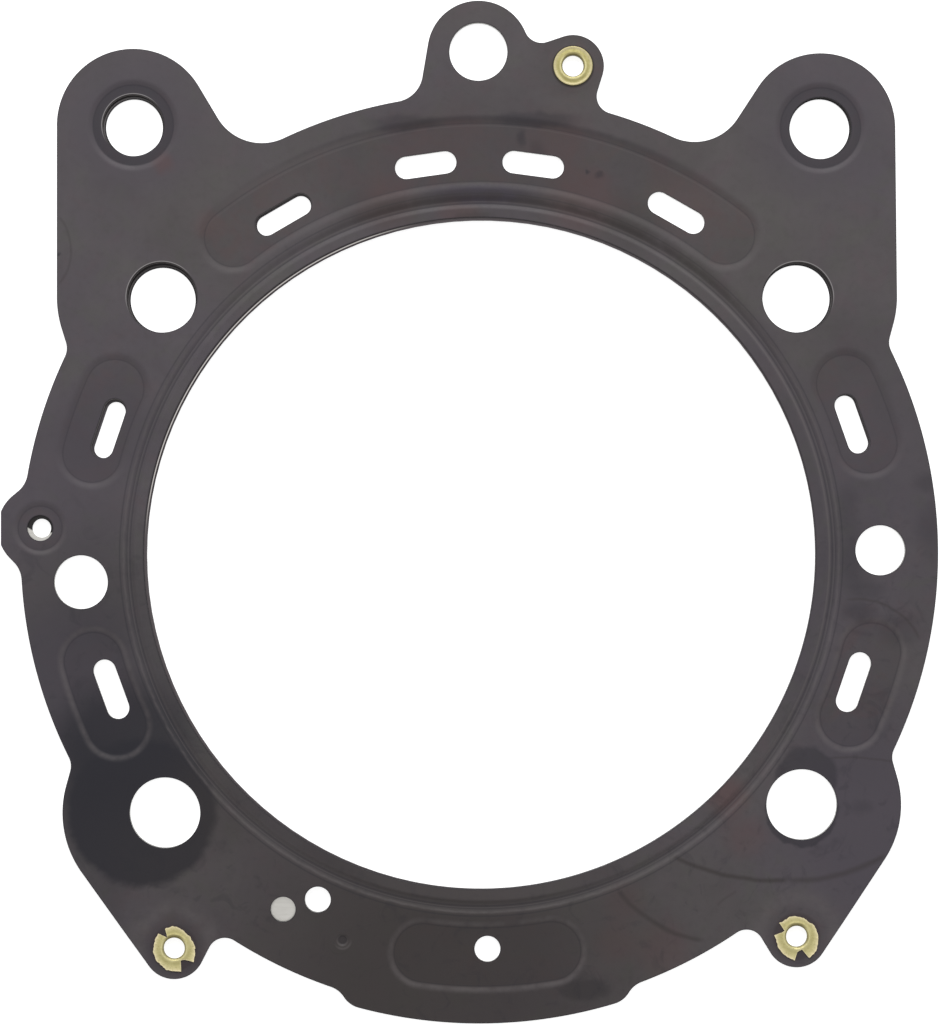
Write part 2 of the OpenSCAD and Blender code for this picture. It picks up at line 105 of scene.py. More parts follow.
# Holes and pressed flats
STUD_D = 11.3
EAR_D = 9.9
TOP_D = 9.3
SIDE_LEFT_D = 8.6
SIDE_RIGHT_D = 8
SMALL_D = 4.15
WINDOW_D = 4
PIN_D = 4.1
EAR_FLAT_R = 6.4
PIN_FLAT_R = 3.5
CLINCH_R, CLINCH_SLOPE_W = 0.6, 0.5

# Eyelets
EYELET_R = 1.7
BARREL_R = 1.95
EYELET_CLEAR = 0.05
HEAD_R = 3.15
EYELET_FLAT_R = 4.2
TAB_BEND_W = 4.8

# Fineness of the meshes: chords on small curves, large ones (over BIG_R) and the bead,
# sides of the least circle and of an eyelet's head, rings across a slope, the distance at
# which points are joined, and the angle from which a corner is sharp
FINE = 0.35
COARSE = 0.6
BIG_R = 30
BEAD_CHORD = COARSE * 0.8
LEAST_SIDES = 24
HEAD_SIDES = 96
SLOPE_RINGS = 8
WELD = 1e-5
SHARP_ANGLE = 32

# Cut edges: width and depth of their rounding, and width of the painted shade line inside them
EDGE_W = 0.06
EDGE_DROP = 0.04
EDGE_SHADE_W = 0.3
# Half-width of the dark line at the foot of a pressed slope: painted crease shade and coating
# build-up
FOOT_SHADE_W = 0.12


def polar(r, degrees):
    a = math.radians(degrees)
    return np.array((r * math.cos(a), r * math.sin(a)))


STUD_UL = polar(BORE_R + 12.14, 141.12)
STUD_UR = polar(BORE_R + 11.79, 39.13)
STUD_LL = polar(BORE_R + 11.82, 219.22)
STUD_LR = polar(BORE_R + 11.55, 322.06)
SIDE_LEFT = polar(BORE_R + 10.7, 183.93)
SIDE_RIGHT = polar(BORE_R + 10.4, 0.63)
OIL_HOLE = polar(BORE_R + 7.58, 244.65)
DRAIN_HOLE = polar(BORE_R + 9.61, 270.91)
WINDOW = polar(BORE_R + 11.5, 240.81)
CLINCH = polar(BORE_R + 12.07, 250.21)
EAR_LEFT = polar(RING_R + 15.08, 129.01)
EAR_RIGHT = polar(RING_R + 13.85, 51.51)
TOP_HOLE = polar(RING_R + 7.1, 90.32)
PIN_HOLE = polar(RING_R - 2.67, 176.56)
EYELET_TOP = polar(RING_R + 6.22, 79.36)
EYELET_LEFT = polar(RING_R + 6.5, 232.04)
EYELET_RIGHT = polar(RING_R + 5.87, 309.57)
EYELETS = (EYELET_TOP, EYELET_LEFT, EYELET_RIGHT)

# Centre, diameter, bite of the lower layers and its direction
HOLES = [(STUD_UL, STUD_D, 0.9, 105), (STUD_UR, STUD_D, 0.56, 50), (STUD_LL, STUD_D, 0, 0),
         (STUD_LR, STUD_D, 0, 0), (EAR_LEFT, EAR_D, 0.8, 110), (EAR_RIGHT, EAR_D, 0.34, 50),
         (TOP_HOLE, TOP_D, 0, 0), (SIDE_LEFT, SIDE_LEFT_D, 0, 0),
         (SIDE_RIGHT, SIDE_RIGHT_D, 0, 0), (OIL_HOLE, SMALL_D, 0, 0),
         (DRAIN_HOLE, SMALL_D, 0, 0)]
FLATS = [(EAR_LEFT, EAR_FLAT_R, SLOPE_W), (EAR_RIGHT, EAR_FLAT_R, SLOPE_W),
         (PIN_HOLE, PIN_FLAT_R, SLOPE_W), (CLINCH, CLINCH_R, CLINCH_SLOPE_W),
         (EYELET_TOP, EYELET_FLAT_R, TAB_BEND_W), (EYELET_LEFT, EYELET_FLAT_R, TAB_BEND_W),
         (EYELET_RIGHT, EYELET_FLAT_R, TAB_BEND_W)]

# Torn ends of the eyelets: direction and radius of each point
TORN_LEFT = [(115, 3.55), (93, 3.63), (82, 3.52), (63, 3.29), (35, 3.24), (5, 3.41),
             (-15, 3.57), (-35, 3.86), (-47, 2.57), (-61, 2.26), (-73, 3.94), (-88, 3.75),
             (-110, 3.76), (-116, 3.61), (-147, 3.51), (-172, 3.47), (-204, 3.41),
             (-223, 3.51), (-238, 2.07)]
TORN_RIGHT = [(142, 3.66), (135, 3.36), (122, 3.3), (110, 3.47), (94, 3.41), (68, 3.21),
              (32, 3.36), (5, 3.55), (-20, 3.7), (-37, 3.9), (-51, 3.95), (-60, 4.03),
              (-68, 2.33), (-88, 2.53), (-95, 3.87), (-115, 3.7), (-134, 3.54),
              (-153, 3.51), (-168, 3.38), (-183, 3.63), (-205, 2.14)]
TORN_TOP = [(84, 3.6), (60, 3.4), (28, 3.45), (-4, 3.6), (-18, 2.3), (-34, 3.7), (-70, 3.5),
            (-104, 3.65), (-128, 3.8), (-139, 2.2), (-152, 3.6), (-180, 3.4), (-215, 3.5),
            (-250, 3.7), (-264, 2.25)]

# Petals of a torn end: step round it in degrees, rows along a petal, and the step and
# reach of the nicks in its edge
PETAL_STEP = 2
PETAL_ROWS = 14
NICK_STEP = 5
NICK = 0.13
# How far the petals stand off at their root, their crest and the dip behind it
PETAL_Z = 0.02
CREST_H = 0.215
DIP_H = 0.075
DIP_START, DIP_W = 2.05, 0.6
# Lift and creases towards the tips, whose waves are a number round the eyelet and a height
LIFT = 0.035
LIFT_WAVES = ((3, 0.03), (7, 0.015))
CREASE_WAVES = ((23, 0.012), (41, 0.008))
DIP_CREASE = 0.3
TIP_START, TIP_W, TIP_POWER = 2.5, 1.3, 1.5
# Thickness at the tip and how much more at the root, bevel and least thickness of the
# tip, gaps to the sheet and to the top of the stack, and overlap with the barrel
PETAL_T, ROOT_MORE_T = 0.11, 0.09
TIP_BEVEL, TIP_T = 0.03, 0.02
SEAT_GAP, TOP_GAP = 0.004, 0.002
ROOT_OVERLAP = 0.1

# Round head: radius of its mouth and of its rim, height of the rim's middle, radius and
# height of points across its dish and its back, and overlap with the torn end
ROLL_R = 0.3
RIM_ROLL_R = 0.12
RIM_ROLL_Z = 0.15
HEAD_DISH = [(2.25, 0.02), (2.5, 0.06), (2.7, 0.075), (2.88, 0.05)]
HEAD_BACK = [(HEAD_R - 0.02, 0.22), (HEAD_R - 0.1, BEAD_H - 0.003), (BARREL_R, BEAD_H - 0.003)]
HEAD_OVERLAP = 0.03


# Outlines: a closed chain of circles (x, y, r) joined by common tangents, anticlockwise,
# in which a hollow corner has a negative radius

def disc(c, r):
    return (float(c[0]), float(c[1]), float(r))


def tangent_dir(a, b):
    dx, dy = b[0] - a[0], b[1] - a[1]
    lean = (a[2] - b[2]) / math.hypot(dx, dy)
    return math.atan2(dy, dx) + math.asin(max(-1, min(1, lean)))


def meet(a, ra, b, rb):
    """Meeting point, right of the way from a to b, of circles of radius ra and rb."""
    a, b = np.array(a[:2]), np.array(b[:2])
    d = np.linalg.norm(b - a)
    u = (b - a) / d
    along = (ra * ra - rb * rb + d * d) / (2 * d)
    return a + along * u + math.sqrt(max(0, ra * ra - along * along)) * np.array((u[1], -u[0]))


def hollow(a, b, f, flank_a=0, flank_b=0):
    return disc(meet(a, math.hypot(a[2] + f, flank_a), b, math.hypot(b[2] + f, flank_b)), -f)


def straight(a, b, step):
    """Points from a up to b, without b."""
    n = max(1, math.ceil(math.dist(a, b) / step))
    return [tuple(np.array(a) + (np.array(b) - np.array(a)) * k / n) for k in range(n)]


def chain_points(chain, grow=0):
    """Points of a chain, moved outwards by grow."""
    arcs = []
    for before, here, after in zip(chain[-1:] + chain[:-1], chain, chain[1:] + chain[:1]):
        start = tangent_dir(before, here)
        turn = (tangent_dir(here, after) - start) % math.tau
        if here[2] < 0 and turn > 1e-3:
            turn -= math.tau
        elif here[2] > 0 and turn > math.tau - 1e-3:
            turn = 0
        chord = COARSE if abs(here[2]) > BIG_R else FINE
        n = max(1, math.ceil(abs(turn * here[2]) / chord))
        r = here[2] + grow
        arcs.append([(here[0] + r * math.sin(start + turn * k / n),
                      here[1] - r * math.cos(start + turn * k / n)) for k in range(n + 1)])
    points = []
    for arc, following in zip(arcs, arcs[1:] + arcs[:1]):
        points += arc[:-1]
        gap = math.dist(arc[-1], following[0])
        points += straight(arc[-1], following[0], COARSE) if gap > 1e-4 else []
    return points


def keep_right_of(points, x):
    """Cuts a closed outline off along a vertical line, and keeps its right side."""
    kept = []
    for a, b in zip(points, points[1:] + points[:1]):
        if a[0] >= x:
            kept.append(a)
        if (a[0] >= x) != (b[0] >= x):
            kept.append((x, a[1] + (b[1] - a[1]) * (x - a[0]) / (b[0] - a[0])))
    return kept


def outline_chain():
    ring = disc(RING_C, RING_R)
    foot = disc(RING_C, RING_R + FOOT_STEP)
    foot_l = disc(RING_C + polar(foot[2] - FOOT_CORNER_R, FOOT_LEFT), FOOT_CORNER_R)
    foot_r = disc(RING_C + polar(foot[2] - FOOT_CORNER_R, FOOT_RIGHT), FOOT_CORNER_R)
    top = disc(TOP_HOLE, TOP_R)
    ear_l = disc(EAR_LEFT, EAR_LEFT_R)
    ear_r = disc(EAR_RIGHT, EAR_RIGHT_R)
    stud_ul = disc(STUD_UL, LOBE_UL_R)
    stud_ur = disc(STUD_UR, LOBE_RIGHT_R)
    stud_ll = disc(STUD_LL, LOBE_LL_R)
    stud_lr = disc(STUD_LR, LOBE_RIGHT_R)
    pin = disc(PIN_HOLE, PIN_TAB_R)
    tab_t = disc(EYELET_TOP, EYELET_TAB_R)
    tab_l = disc(EYELET_LEFT, EYELET_TAB_R)
    tab_r = disc(EYELET_RIGHT, EYELET_TAB_R)
    return [
        top,
        hollow(top, ring, TOP_FILLET, flank_a=TOP_FLANK),
        ring,
        hollow(ring, ear_l, EAR_FILLET, flank_b=EAR_FLANK),
        ear_l,
        stud_ul,
        hollow(stud_ul, ring, LOBE_FILLET, flank_a=LOBE_FLANK),
        ring,
        hollow(ring, pin, PIN_FILLET, flank_b=PIN_FLANK),
        pin,
        hollow(pin, ring, PIN_FILLET, flank_a=PIN_FLANK),
        ring,
        hollow(ring, stud_ll, LOBE_FILLET, flank_b=LOBE_FLANK),
        stud_ll,
        tab_l,
        hollow(tab_l, ring, TAB_FILLET, flank_a=TAB_FLANK),
        ring,
        hollow(ring, foot_l, FOOT_CORNER_R),
        foot_l,
        foot,
        foot_r,
        hollow(foot_r, ring, FOOT_CORNER_R),
        ring,
        hollow(ring, tab_r, TAB_FILLET, flank_b=TAB_FLANK),
        tab_r,
        stud_lr,
        hollow(stud_lr, ring, LOBE_FILLET, flank_a=LOBE_FLANK),
        ring,
        hollow(ring, stud_ur, LOBE_FILLET, flank_b=LOBE_FLANK),
        stud_ur,
        ear_r,
        hollow(ear_r, ring, EAR_FILLET, flank_a=EAR_FLANK),
        ring,
        hollow(ring, tab_t, TAB_FILLET, flank_b=TAB_FLANK),
        tab_t,
        hollow(tab_t, top, TAB_FILLET, flank_a=TAB_FLANK),
    ]


def circle(c, r, chord=FINE):
    n = max(LEAST_SIDES, math.ceil(math.tau * r / chord))
    return [tuple(np.array(c) + polar(r, 360 * k / n)) for k in range(n)]


def slot_loop(angle, shift, direction, grow=0):
    """Loop of a straight slot with round ends, across the direction from the axis."""
    reach = (SLOT_L - SLOT_W) / 2
    r = SLOT_W / 2 - shift + grow
    n = math.ceil(math.pi * (SLOT_W / 2) / FINE)
    points = []
    for side in (1, -1):
        start = 0 if side > 0 else 180
        points += [polar(r, start + 180 * k / n) + (0, side * reach) for k in range(n + 1)]
    turned = math.radians(angle)
    rotate = np.array(((math.cos(turned), -math.sin(turned)),
                       (math.sin(turned), math.cos(turned))))
    centre = -polar(shift, direction) + polar(SLOT_R, angle)
    loop = [tuple(centre + rotate @ p) for p in points]
    joined = []
    for a, b in zip(loop, loop[1:] + loop[:1]):
        joined += straight(a, b, COARSE)
    return joined


def band_loop(ends, d):
    """Loop at the distance d from the middle line of a pressed band."""
    points = []
    for r, start, stop in ((BAND_R + d, ends[0], ends[1]), (BAND_R - d, ends[1], ends[0])):
        n = max(1, math.ceil(math.radians(abs(stop - start)) * r / COARSE))
        points += [tuple(polar(r, start + (stop - start) * k / n)) for k in range(n)]
        n = math.ceil(math.pi * d / FINE)
        lead = stop if stop > start else stop - 180
        points += [tuple(polar(BAND_R, stop) + polar(d, lead + 180 * k / n)) for k in range(n)]
    return points


def slope_offsets(width):
    """Distances from a floor's edge across its slope, with a guard ring on both sides."""
    guard = width / SLOPE_RINGS
    return [-guard] + [width * k / SLOPE_RINGS for k in range(SLOPE_RINGS + 1)] + [width + guard]


def smooth(s):
    return (1 - np.cos(np.pi * np.clip(s, 0, 1))) / 2


def pressed(s):
    """Profile of a pressed slope, steeper near its foot."""
    return smooth(np.clip(s, 0, 1) ** SLOPE_LEAN)


def band_distance(x, y, ends):
    """Distance from the middle line of a pressed band."""
    mid = math.radians(sum(ends) / 2)
    half = math.radians(ends[1] - ends[0]) / 2
    off = np.abs((np.arctan2(y, x) - mid + np.pi) % (2 * np.pi) - np.pi)
    along = np.abs(np.hypot(x, y) - BAND_R)
    caps = [np.hypot(*(np.stack((x, y)) - polar(BAND_R, a)[:, None])) for a in ends]
    return np.where(off <= half, along, np.minimum(*caps))


def rise(x, y):
    """Height of the sheet above its pressed floors, from 0 to BEAD_H."""
    r = np.hypot(x, y)
    up = np.maximum(pressed((FOOT_R - r) / (FOOT_R - SHOULDER_R)),
                    pressed((r - FAR_FOOT_R) / (OUTER_R - FAR_FOOT_R)))
    for ends in BANDS:
        up = np.minimum(up, pressed((band_distance(x, y, ends) - BAND_W / 2) / BAND_SLOPE_W))
    for c, flat_r, width in FLATS:
        up = np.minimum(up, pressed((np.hypot(x - c[0], y - c[1]) - flat_r) / width))
    return BEAD_H * up


def foot_shade_line(x, y):
    """Share of the thin dark line at the edge of the pressed floors: painted crease shade and
    coating build-up.
    """
    gaps = [band_distance(x, y, ends) - BAND_W / 2 for ends in BANDS]
    gaps += [np.hypot(x - c[0], y - c[1]) - flat_r for c, flat_r, width in FLATS
             if width <= SLOPE_W]
    return np.exp(-(np.min(np.abs(gaps), axis=0) / FOOT_SHADE_W) ** 2)


def edge_shade_share(xy, border):
    """Share of the painted shade along the cut edges: 1 at the edges, and 0 the width of that shade
    inside them.
    """
    beside = {}
    for a, b in border:
        beside.setdefault(a, []).append(b)
        beside.setdefault(b, []).append(a)
    tree = KDTree(len(beside))
    for i in beside:
        tree.insert((*xy[i], 0), i)
    tree.balance()
    share = np.zeros(len(xy))
    for k, p in enumerate(xy):
        _, i, gap = tree.find((*p, 0))
        if gap > EDGE_SHADE_W + COARSE:
            continue
        for j in beside[i]:
            side = xy[j] - xy[i]
            along = np.clip(np.dot(p - xy[i], side) / np.dot(side, side), 0, 1)
            gap = min(gap, np.linalg.norm(p - xy[i] - along * side))
        share[k] = 1 - min(1, gap / EDGE_SHADE_W)
    return share


def inside(x, y, loop):
    """Which of the points lie inside a closed loop."""
    result = np.zeros(len(x), bool)
    for (ax, ay), (bx, by) in zip(loop, loop[1:] + loop[:1]):
        if ay == by:
            continue
        crosses = ((y < ay) != (y < by)) & (x < ax + (y - ay) * (bx - ax) / (by - ay))
        result ^= crosses
    return result


def hole_loops(share, bore_share, window, grow=0):
    """Edges of all the holes of a bead sheet, made wider by grow."""
    shift = BORE_BITE * bore_share / 2
    bore_c = polar(BORE_BITE / 2 - shift, BORE_BITE_DIR)
    loops = [circle(bore_c, BORE_R + BORE_BITE / 2 - shift + grow, BEAD_CHORD)]
    for c, d, bite, direction in HOLES:
        shift = bite * share / 2
        loops.append(circle(c - polar(shift, direction), d / 2 - shift + grow))
    for angle, bite, direction in SLOTS:
        loops.append(slot_loop(angle, bite * share / 2, direction, grow))
    for c in EYELETS:
        loops.append(circle(c, BARREL_R + EYELET_CLEAR + grow))
    loops.append(circle(PIN_HOLE, PIN_D / 2 + grow))
    if window:
        loops.append(circle(WINDOW, WINDOW_D / 2 + grow))
    return loops


def pressing_loops():
    """Rings across the slopes of everything that is pressed in a bead sheet."""
    loops = []
    for start, width in ((FOOT_R, SHOULDER_R - FOOT_R), (FAR_FOOT_R, OUTER_R - FAR_FOOT_R)):
        for offset in slope_offsets(abs(width)):
            loops.append(circle((0, 0), start + math.copysign(offset, width), BEAD_CHORD))
    for ends in BANDS:
        loops += [band_loop(ends, BAND_W / 2 + offset) for offset in slope_offsets(BAND_SLOPE_W)]
    for c, flat_r, width in FLATS:
        loops += [circle(c, flat_r + offset) for offset in slope_offsets(width)]
    return loops


def new_mesh(name, points, faces, marks=None):
    """Mesh object of points in millimetres, shaded smooth up to sharp corners, with a
    value at every point for each of the named marks."""
    mesh = bpy.data.meshes.new(name)
    mesh.from_pydata(np.asarray(points, dtype=float) * MM, [], faces)
    mesh.validate()
    mesh.shade_smooth()
    mesh.set_sharp_from_angle(angle=math.radians(SHARP_ANGLE))
    for mark, values in (marks or {}).items():
        mesh.attributes.new(mark, "FLOAT", "POINT").data.foreach_set("value", values)
    piece = bpy.data.objects.new(name, mesh)
    bpy.context.scene.collection.objects.link(piece)
    return piece


def sheet_skin(inset, share, bore_share, window):
    """Points and triangles of a bead sheet's plan, and its boundary edges."""
    chain = outline_chain()
    cut = PIN_HOLE[0] - PIN_TAB_FLAT + inset
    outer = keep_right_of(chain_points(chain, -inset), cut)
    holes = hole_loops(share, bore_share, window)
    loops = [outer] + holes + pressing_loops()
    for gap in (EDGE_W, EDGE_SHADE_W):
        loops.append(keep_right_of(chain_points(chain, -inset - gap), cut + gap))
        loops += hole_loops(share, bore_share, window, gap)
    points, edges = [], []
    for loop in loops:
        first, n = len(points), len(loop)
        points += [Vector(p) for p in loop]
        edges += [(first + k, first + (k + 1) % n) for k in range(n)]
    flat, _, faces, _, _, _ = delaunay_2d_cdt(points, edges, [], 0, WELD, False)
    xy = np.array([(p.x, p.y) for p in flat])
    triangles = np.array(faces)
    mx, my = xy[triangles].mean(axis=1).T
    kept = inside(mx, my, outer)
    for loop in holes:
        kept &= ~inside(mx, my, loop)
    triangles = triangles[kept]
    used, triangles = np.unique(triangles, return_inverse=True)
    triangles = triangles.reshape(-1, 3)
    xy = xy[used]
    a, b, c = (xy[triangles[:, k]] for k in range(3))
    turned = np.cross(b - a, c - a) < 0
    triangles[turned] = triangles[turned][:, ::-1]
    sides = {tuple(e) for k in range(3) for e in triangles[:, [k, (k + 1) % 3]].tolist()}
    return xy, triangles, [e for e in sides if (e[1], e[0]) not in sides]


def bead_sheet(name, floor_z, up, inset, share, bore_share, window):
    """Closed mesh of a bead sheet whose field stands BEAD_H past its floors, up or down."""
    xy, triangles, border = sheet_skin(inset, share, bore_share, window)
    n = len(xy)
    low = rise(xy[:, 0], xy[:, 1])
    edge = np.zeros(n)
    edge[np.unique(border)] = EDGE_DROP
    near, far = low + edge, low + SHEET_T - edge
    near, far = floor_z + up * near, floor_z + up * far
    bottom, top = (near, far) if up > 0 else (far, near)
    points = np.vstack((np.column_stack((xy, bottom)), np.column_stack((xy, top))))
    faces = (triangles + n).tolist() + triangles[:, ::-1].tolist()
    faces += [(a, b, b + n, a + n) for a, b in border]
    marks = {"height": low / BEAD_H, "foot": foot_shade_line(xy[:, 0], xy[:, 1]),
             "rim": edge_shade_share(xy, border)}
    return new_mesh(name, points, faces, {key: np.tile(v, 2) for key, v in marks.items()})


def ring_faces(m, n):
    """Faces between n copies of a closed profile of m points, set round in a ring."""
    faces = []
    for k in range(n):
        for j in range(m):
            a, b = k * m, (k + 1) % n * m
            faces.append((a + j, b + j, b + (j + 1) % m, a + (j + 1) % m))
    return faces


def torn_radius(torn, degrees):
    """Distance from the centre to the torn edge in a direction."""
    corners = [polar(r, a) for a, r in torn]
    ray = polar(1, degrees)
    best = None
    for a, b in zip(corners, corners[1:] + corners[:1]):
        side = b - a
        det = ray[0] * -side[1] + ray[1] * side[0]
        if abs(det) < 1e-9:
            continue
        t = (a[0] * -side[1] + a[1] * side[0]) / det
        s = (ray[0] * a[1] - ray[1] * a[0]) / det
        if t > 0 and -1e-6 <= s <= 1 + 1e-6:
            best = t if best is None else min(best, t)
    return best


def ripple(waves, phases, turn):
    """Sum of waves round an eyelet, at a turn in radians."""
    return sum(h * math.sin(n * turn + phase) for (n, h), phase in zip(waves, phases))


def torn_end(torn, centre, seed):
    """Ring of torn petals, rolled over the barrel, dipped and lifted at the tips."""
    rng = np.random.default_rng(seed)
    angles = sorted({round(a % 360, 1) for a, _ in torn} | set(range(0, 360, PETAL_STEP)))
    phases = rng.uniform(0, math.tau, 4)
    nicks = rng.uniform(0, NICK, 360 // NICK_STEP + 1)
    base = STACK_H - BEAD_H
    points = []
    for a in angles:
        reach = torn_radius(torn, a) - np.interp(a, range(0, 361, NICK_STEP), nicks)
        lift = LIFT + ripple(LIFT_WAVES, phases[:2], math.radians(a))
        crease = ripple(CREASE_WAVES, phases[2:], math.radians(a))
        upper, lower = [], []
        for k in range(PETAL_ROWS + 1):
            s = k / PETAL_ROWS
            r = EYELET_R + (reach - EYELET_R) * s
            crest = smooth((r - EYELET_R) / ROLL_R)
            dip = smooth((r - DIP_START) / DIP_W)
            tip = max(0, (r - TIP_START) / TIP_W) ** TIP_POWER
            z = base + PETAL_Z + CREST_H * crest - DIP_H * dip + (lift + crease) * tip
            z = min(z + crease * DIP_CREASE * dip, STACK_H - TOP_GAP)
            upper.append((r, z))
            thick = PETAL_T + ROOT_MORE_T * (1 - s)
            under = max(base + SEAT_GAP, z - thick) if r > BARREL_R else base - ROOT_OVERLAP
            lower.append((r, under))
        r, z = lower[-1]
        lower[-1] = (max(r - TIP_BEVEL, EYELET_R), min(z + TIP_BEVEL, upper[-1][1] - TIP_T))
        for r, z in upper + lower[::-1]:
            points.append((*(centre + polar(r, a)), z))
    shares = [k / PETAL_ROWS for k in range(PETAL_ROWS + 1)]
    faces = ring_faces(2 * len(shares), len(angles))
    return points, faces, (shares + shares[::-1]) * len(angles)


def quarter(r, step):
    """Offsets (r sin t, r cos t) round a quarter turn, in steps in degrees."""
    turns = [math.radians(t) for t in range(0, 91, step)]
    return [(r * math.sin(t), r * math.cos(t)) for t in turns]


def head_ring(centre):
    """Barrel and rolled round head, which lies at the bottom, round a vertical axis."""
    top = STACK_H - BEAD_H + HEAD_OVERLAP
    mouth = [(EYELET_R + ROLL_R - y, ROLL_R - x) for x, y in quarter(ROLL_R, 10)]
    rim = [(HEAD_R - RIM_ROLL_R + x, RIM_ROLL_Z - y) for x, y in quarter(RIM_ROLL_R, 15)]
    profile = [(EYELET_R, top)] + mouth + HEAD_DISH + rim + HEAD_BACK + [(BARREL_R, top)]
    turns = [360 * k / HEAD_SIDES for k in range(HEAD_SIDES)]
    points = [(*(centre + polar(r, a)), z) for a in turns for r, z in profile]
    return points, ring_faces(len(profile), HEAD_SIDES)


def eyelet(name, centre, torn, seed, flipped=False):
    """Eyelet with its torn end up, or turned over so that its round head is up."""
    head_points, head_faces = head_ring(centre)
    torn_points, torn_faces, tip = torn_end(torn, centre, seed)
    start = len(head_points)
    points = np.array(head_points + torn_points)
    faces = head_faces + [tuple(start + i for i in f) for f in torn_faces]
    if flipped:
        points[:, 2] = STACK_H - points[:, 2]
    else:
        faces = [f[::-1] for f in faces]
    return new_mesh(name, points, faces, {"tip": [0.0] * start + tip})


# Materials

class Finish:
    """A procedural material, with short forms for its nodes. Places are in millimetres."""

    def __init__(self, name):
        self.material = bpy.data.materials.new(name)
        self.material.use_nodes = True
        self.tree = self.material.node_tree
        self.shader = self.tree.nodes["Principled BSDF"]
        coords = self.tree.nodes.new("ShaderNodeTexCoord")
        self.place = self.vector("SCALE", coords.outputs["Object"], scale=1 / MM)

    def put(self, value, socket):
        if isinstance(value, bpy.types.NodeSocket):
            self.tree.links.new(value, socket)
        else:
            socket.default_value = value

    def node(self, kind, values=(), **settings):
        made = self.tree.nodes.new(kind)
        for key, value in settings.items():
            setattr(made, key, value)
        for key, value in dict(values).items():
            self.put(value, made.inputs[key])
        return made

    def vector(self, operation, a, b=None, scale=None):
        made = self.node("ShaderNodeVectorMath", {0: a}, operation=operation)
        if b is not None:
            self.put(b, made.inputs[1])
        if scale is not None:
            self.put(scale, made.inputs["Scale"])
        return made.outputs["Value" if operation in ("LENGTH", "DOT_PRODUCT") else "Vector"]

    def math(self, operation, a, b=0.0):
        return self.node("ShaderNodeMath", {0: a, 1: b}, operation=operation).outputs[0]

    def fade(self, value, low, high, to_low=0.0, to_high=1.0):
        """Smooth step of a value from low to high."""
        made = self.node("ShaderNodeMapRange", {"Value": value, "From Min": low,
                                                "From Max": high, "To Min": to_low,
                                                "To Max": to_high},
                         interpolation_type="SMOOTHSTEP")
        return made.outputs["Result"]

    def noise(self, size, detail=3.0, rough=0.5, warp=0.0, place=None, seed=0.0):
        """Noise from 0 to 1 whose features are about size wide."""
        moved = self.vector("ADD", place or self.place, (seed * 17.0, seed * 31.0, 0.0))
        made = self.node("ShaderNodeTexNoise",
                         {"Vector": moved, "Scale": 1 / size, "Detail": detail,
                          "Roughness": rough, "Distortion": warp})
        return made.outputs["Fac"]

    def mix(self, share, a, b):
        made = self.node("ShaderNodeMix", data_type="RGBA")
        self.put(share, made.inputs[0])
        for value, socket in ((a, made.inputs[6]), (b, made.inputs[7])):
            self.put((*value, 1) if isinstance(value, tuple) else value, socket)
        return made.outputs[2]

    def radius(self, centre, place=None, squash=1):
        """Distance in plan from a centre, upright distances counted squash times."""
        moved = self.vector("SUBTRACT", place or self.place, (*map(float, centre[:2]), 0.0))
        flat = self.vector("MULTIPLY", moved, (1.0, float(squash), 0.0))
        return self.vector("LENGTH", flat)

    def ring_line(self, centre, r, width, place=None):
        """Mask of a soft line round a centre."""
        off = self.math("ABSOLUTE", self.math("SUBTRACT", self.radius(centre, place), float(r)))
        return self.fade(off, 0.0, width, 1.0, 0.0)

    def spot(self, centre, r, soft, place=None, squash=1):
        """Mask of a disc with a soft edge, flattened by squash."""
        away = self.radius(centre, place, squash)
        return self.fade(away, float(r - soft), float(r + soft), 1.0, 0.0)

    def scale(self, value, factor):
        return self.math("MULTIPLY", value, float(factor))

    def stain(self, colour, tint, strength, *masks):
        """Colour with a tint over it, as strong as said where all the masks are 1."""
        share = masks[0]
        for mask in masks[1:]:
            share = self.math("MULTIPLY", share, mask)
        return self.mix(self.scale(share, strength), colour, tint)

    def mark(self, name):
        """Value of a mark that a mesh has at its points."""
        return self.node("ShaderNodeAttribute", attribute_name=name).outputs["Fac"]

    def wobble(self, size, reach):
        """The place, moved about by a noise, so that edges drawn with it are uneven."""
        made = self.node("ShaderNodeTexNoise",
                         {"Vector": self.place, "Scale": 1 / size, "Detail": 3.0})
        off = self.vector("SUBTRACT", made.outputs["Color"], (0.5, 0.5, 0.5))
        return self.vector("ADD", self.place, self.vector("SCALE", off, scale=reach))

    def toward(self, degrees, half, soft):
        """Mask of the directions within half of one, seen from the cylinder axis."""
        ray = polar(1, degrees)
        along = self.vector("DOT_PRODUCT", self.place, (float(ray[0]), float(ray[1]), 0.0))
        share = self.math("DIVIDE", along, self.radius((0, 0)))
        far, near = (math.cos(math.radians(half + side * soft)) for side in (1, -1))
        return self.fade(share, far, near)

    def below(self, start, full):
        """Mask that grows from 0 at y = start to 1 further down, at y = full."""
        low = self.vector("DOT_PRODUCT", self.place, (0.0, -1.0, 0.0))
        return self.fade(low, -float(start), -float(full))

    def arc_line(self, a, b, c, width, place=None):
        """Mask of a soft line along the arc from a to c through b."""
        (ax, ay), (bx, by), (cx, cy) = a, b, c
        d = 2 * (ax * (by - cy) + bx * (cy - ay) + cx * (ay - by))
        sa, sb, sc = ax * ax + ay * ay, bx * bx + by * by, cx * cx + cy * cy
        centre = ((sa * (by - cy) + sb * (cy - ay) + sc * (ay - by)) / d,
                  (sa * (cx - bx) + sb * (ax - cx) + sc * (bx - ax)) / d)
        middle = ((ax + cx) / 2, (ay + cy) / 2)
        reach = max(math.dist(middle, a), math.dist(middle, b))
        line = self.ring_line(centre, math.dist(centre, a), width, place)
        return self.math("MULTIPLY", line, self.spot(middle, reach * 0.94, reach * 0.1, place))

    def bump(self, height, strength, distance):
        made = self.node("ShaderNodeBump", {"Height": height, "Strength": strength,
                                            "Distance": distance * MM})
        self.put(made.outputs["Normal"], self.shader.inputs["Normal"])


